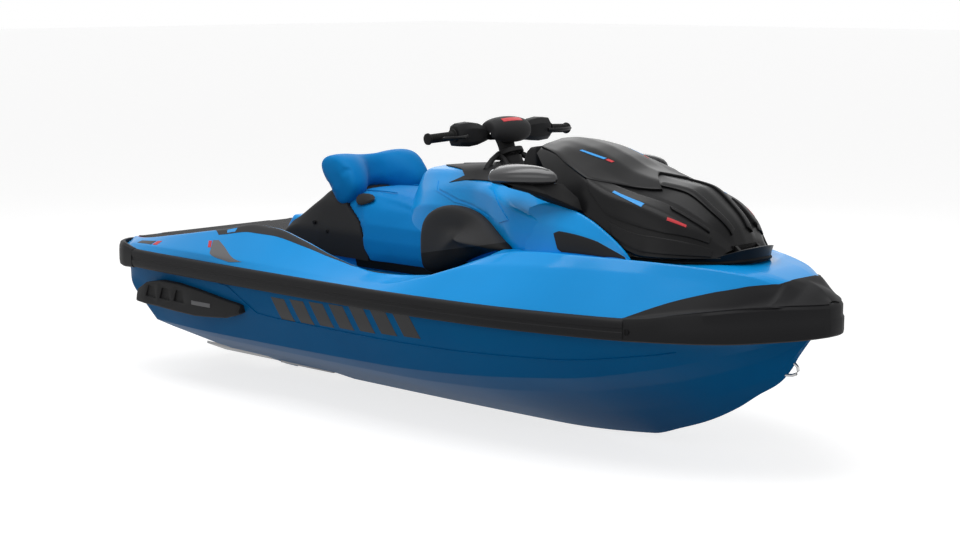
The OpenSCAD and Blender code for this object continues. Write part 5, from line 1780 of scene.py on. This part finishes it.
# ---------------------------------------------------------------- studio
@dataclass
class Studio:
    """A pale floor, soft lamps and the camera."""

    floor_up: float = -0.266
    target: tuple[float, float, float] = (0.027, 0.0, 0.277)
    azimuth: float = 43.7
    elevation: float = 8.6
    distance: float = 7.26
    lens: float = 70.1

    def build(self) -> None:
        """Makes the whole studio."""
        self.floor()
        self.world()
        self.lamp("key_lamp", (0.2, -1.2, 5.4), (0.1, 0, 0.2), (5.0, 4.0), 250)
        self.lamp("side_lamp", (1.0, -5.4, 2.4), (0, 0, 0.3), (4.0, 2.0), 34)
        self.lamp("bow_lamp", (5.4, -0.8, 1.6), (0.6, 0, 0.3), (2.5, 1.6), 16)
        self.lamp("back_lamp", (-3.6, 4.2, 3.2), (0, 0, 0.3), (4.0, 3.0), 50)
        self.camera()

    def floor(self) -> None:
        """A wide pale floor that keeps the craft's shadow."""
        data = bpy.data.meshes.new("studio_floor")
        reach, up = 60.0, self.floor_up
        corners = [(x * reach, y * reach, up) for x, y in ((-1, -1), (1, -1), (1, 1), (-1, 1))]
        data.from_pydata(corners, [], [(0, 1, 2, 3)])
        floor = bpy.data.objects.new("studio_floor", data)
        bpy.context.scene.collection.objects.link(floor)
        made = bpy.data.materials.new("pale_studio_floor")
        made.use_nodes = True
        tree = made.node_tree
        tree.nodes.clear()
        matte = add(tree, "ShaderNodeBsdfPrincipled", {"Base Color": linear("a6a6a6"), "Roughness": 0.9})
        glow = add(tree, "ShaderNodeEmission", {"Color": linear("ffffff"), "Strength": 0.76})
        both = add(tree, "ShaderNodeAddShader",
                   links={0: matte.outputs["BSDF"], 1: glow.outputs["Emission"]})
        plain = add(tree, "ShaderNodeBsdfDiffuse", {"Color": linear("a4a4a4")})
        self.show(tree, plain.outputs["BSDF"], both.outputs["Shader"], "ShaderNodeOutputMaterial")
        data.materials.append(made)

    def show(self, tree: Tree, hidden: Socket, seen: Socket, output: str) -> None:
        """Shows one shader to rays from the camera, off gloss or through glass, and one to the rest.

        Args:
            tree: The node tree that it ends.
            hidden: The shader for light on its way round the scene.
            seen: The shader for what the camera sees, straight or by a reflection.
            output: The kind of output node.
        """
        ray = add(tree, "ShaderNodeLightPath").outputs
        first = add(tree, "ShaderNodeMath", operation="MAXIMUM",
                    links={0: ray["Is Camera Ray"], 1: ray["Is Glossy Ray"]})
        straight = add(tree, "ShaderNodeMath", operation="MAXIMUM",
                       links={0: first.outputs["Value"], 1: ray["Is Transmission Ray"]})
        pick = add(tree, "ShaderNodeMixShader", links={"Fac": straight.outputs["Value"], 1: hidden, 2: seen})
        add(tree, output, links={"Surface": pick.outputs["Shader"]})

    def world(self) -> None:
        """Even light from all round, and white where the camera or a reflection sees past the floor."""
        world = bpy.data.worlds.new("studio_air")
        bpy.context.scene.world = world
        world.use_nodes = True
        tree = world.node_tree
        tree.nodes.clear()
        air = add(tree, "ShaderNodeBackground", {"Color": linear("ffffff"), "Strength": 0.30})
        white = add(tree, "ShaderNodeBackground", {"Color": linear("ffffff"), "Strength": 1.0})
        self.show(tree, air.outputs["Background"], white.outputs["Background"], "ShaderNodeOutputWorld")

    def lamp(self, name: str, place: Sequence[float], target: Sequence[float], size: tuple[float, float],
             power: float) -> None:
        """Adds one soft rectangular lamp.

        Args:
            name: The lamp's name.
            place: Where it hangs, in metres.
            target: The point it faces.
            size: Width and height in metres.
            power: Watts.
        """
        light = bpy.data.lights.new(name, "AREA")
        light.shape, light.size, light.size_y, light.energy = "RECTANGLE", size[0], size[1], power
        thing = bpy.data.objects.new(name, light)
        thing.location = place
        thing.rotation_euler = (Vector(target) - Vector(place)).to_track_quat("-Z", "Y").to_euler()
        bpy.context.scene.collection.objects.link(thing)

    def camera(self) -> None:
        """Sets the camera low off the starboard bow, facing the craft."""
        data = bpy.data.cameras.new("view")
        data.lens, data.sensor_width, data.clip_end = self.lens, 36.0, 200.0
        thing = bpy.data.objects.new("view", data)
        turn, lift = math.radians(self.azimuth), math.radians(self.elevation)
        away = Vector((math.sin(turn) * math.cos(lift), -math.cos(turn) * math.cos(lift), math.sin(lift)))
        target = Vector(self.target)
        thing.location = target + away * self.distance
        thing.rotation_euler = (-away).to_track_quat("-Z", "Y").to_euler()
        bpy.context.scene.collection.objects.link(thing)
        bpy.context.scene.camera = thing


def main() -> None:
    """Builds the studio, then every sub-assembly in order, logging each piece as it is made."""
    logging.basicConfig(level=logging.INFO, format="%(message)s")
    bpy.context.scene.view_settings.view_transform = "Standard"
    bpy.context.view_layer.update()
    Studio().build()
    CarriedOver().dress()
    hull, deck, hood = Hull(), Deck(), Hood()
    hull.build()
    hull.dress()
    deck.build()
    deck.dress()
    Bumpers().build(deck.shell)
    TankCover().build()
    Seat().build()
    hood.build()
    hood.dress()
    HoodTray().build()
    SideWings().build()
    Mirrors().build()
    Gauge().build()
    Steering().build()
    Sponsons().build()
    Fittings().build()


if __name__ == "__main__":
    main()
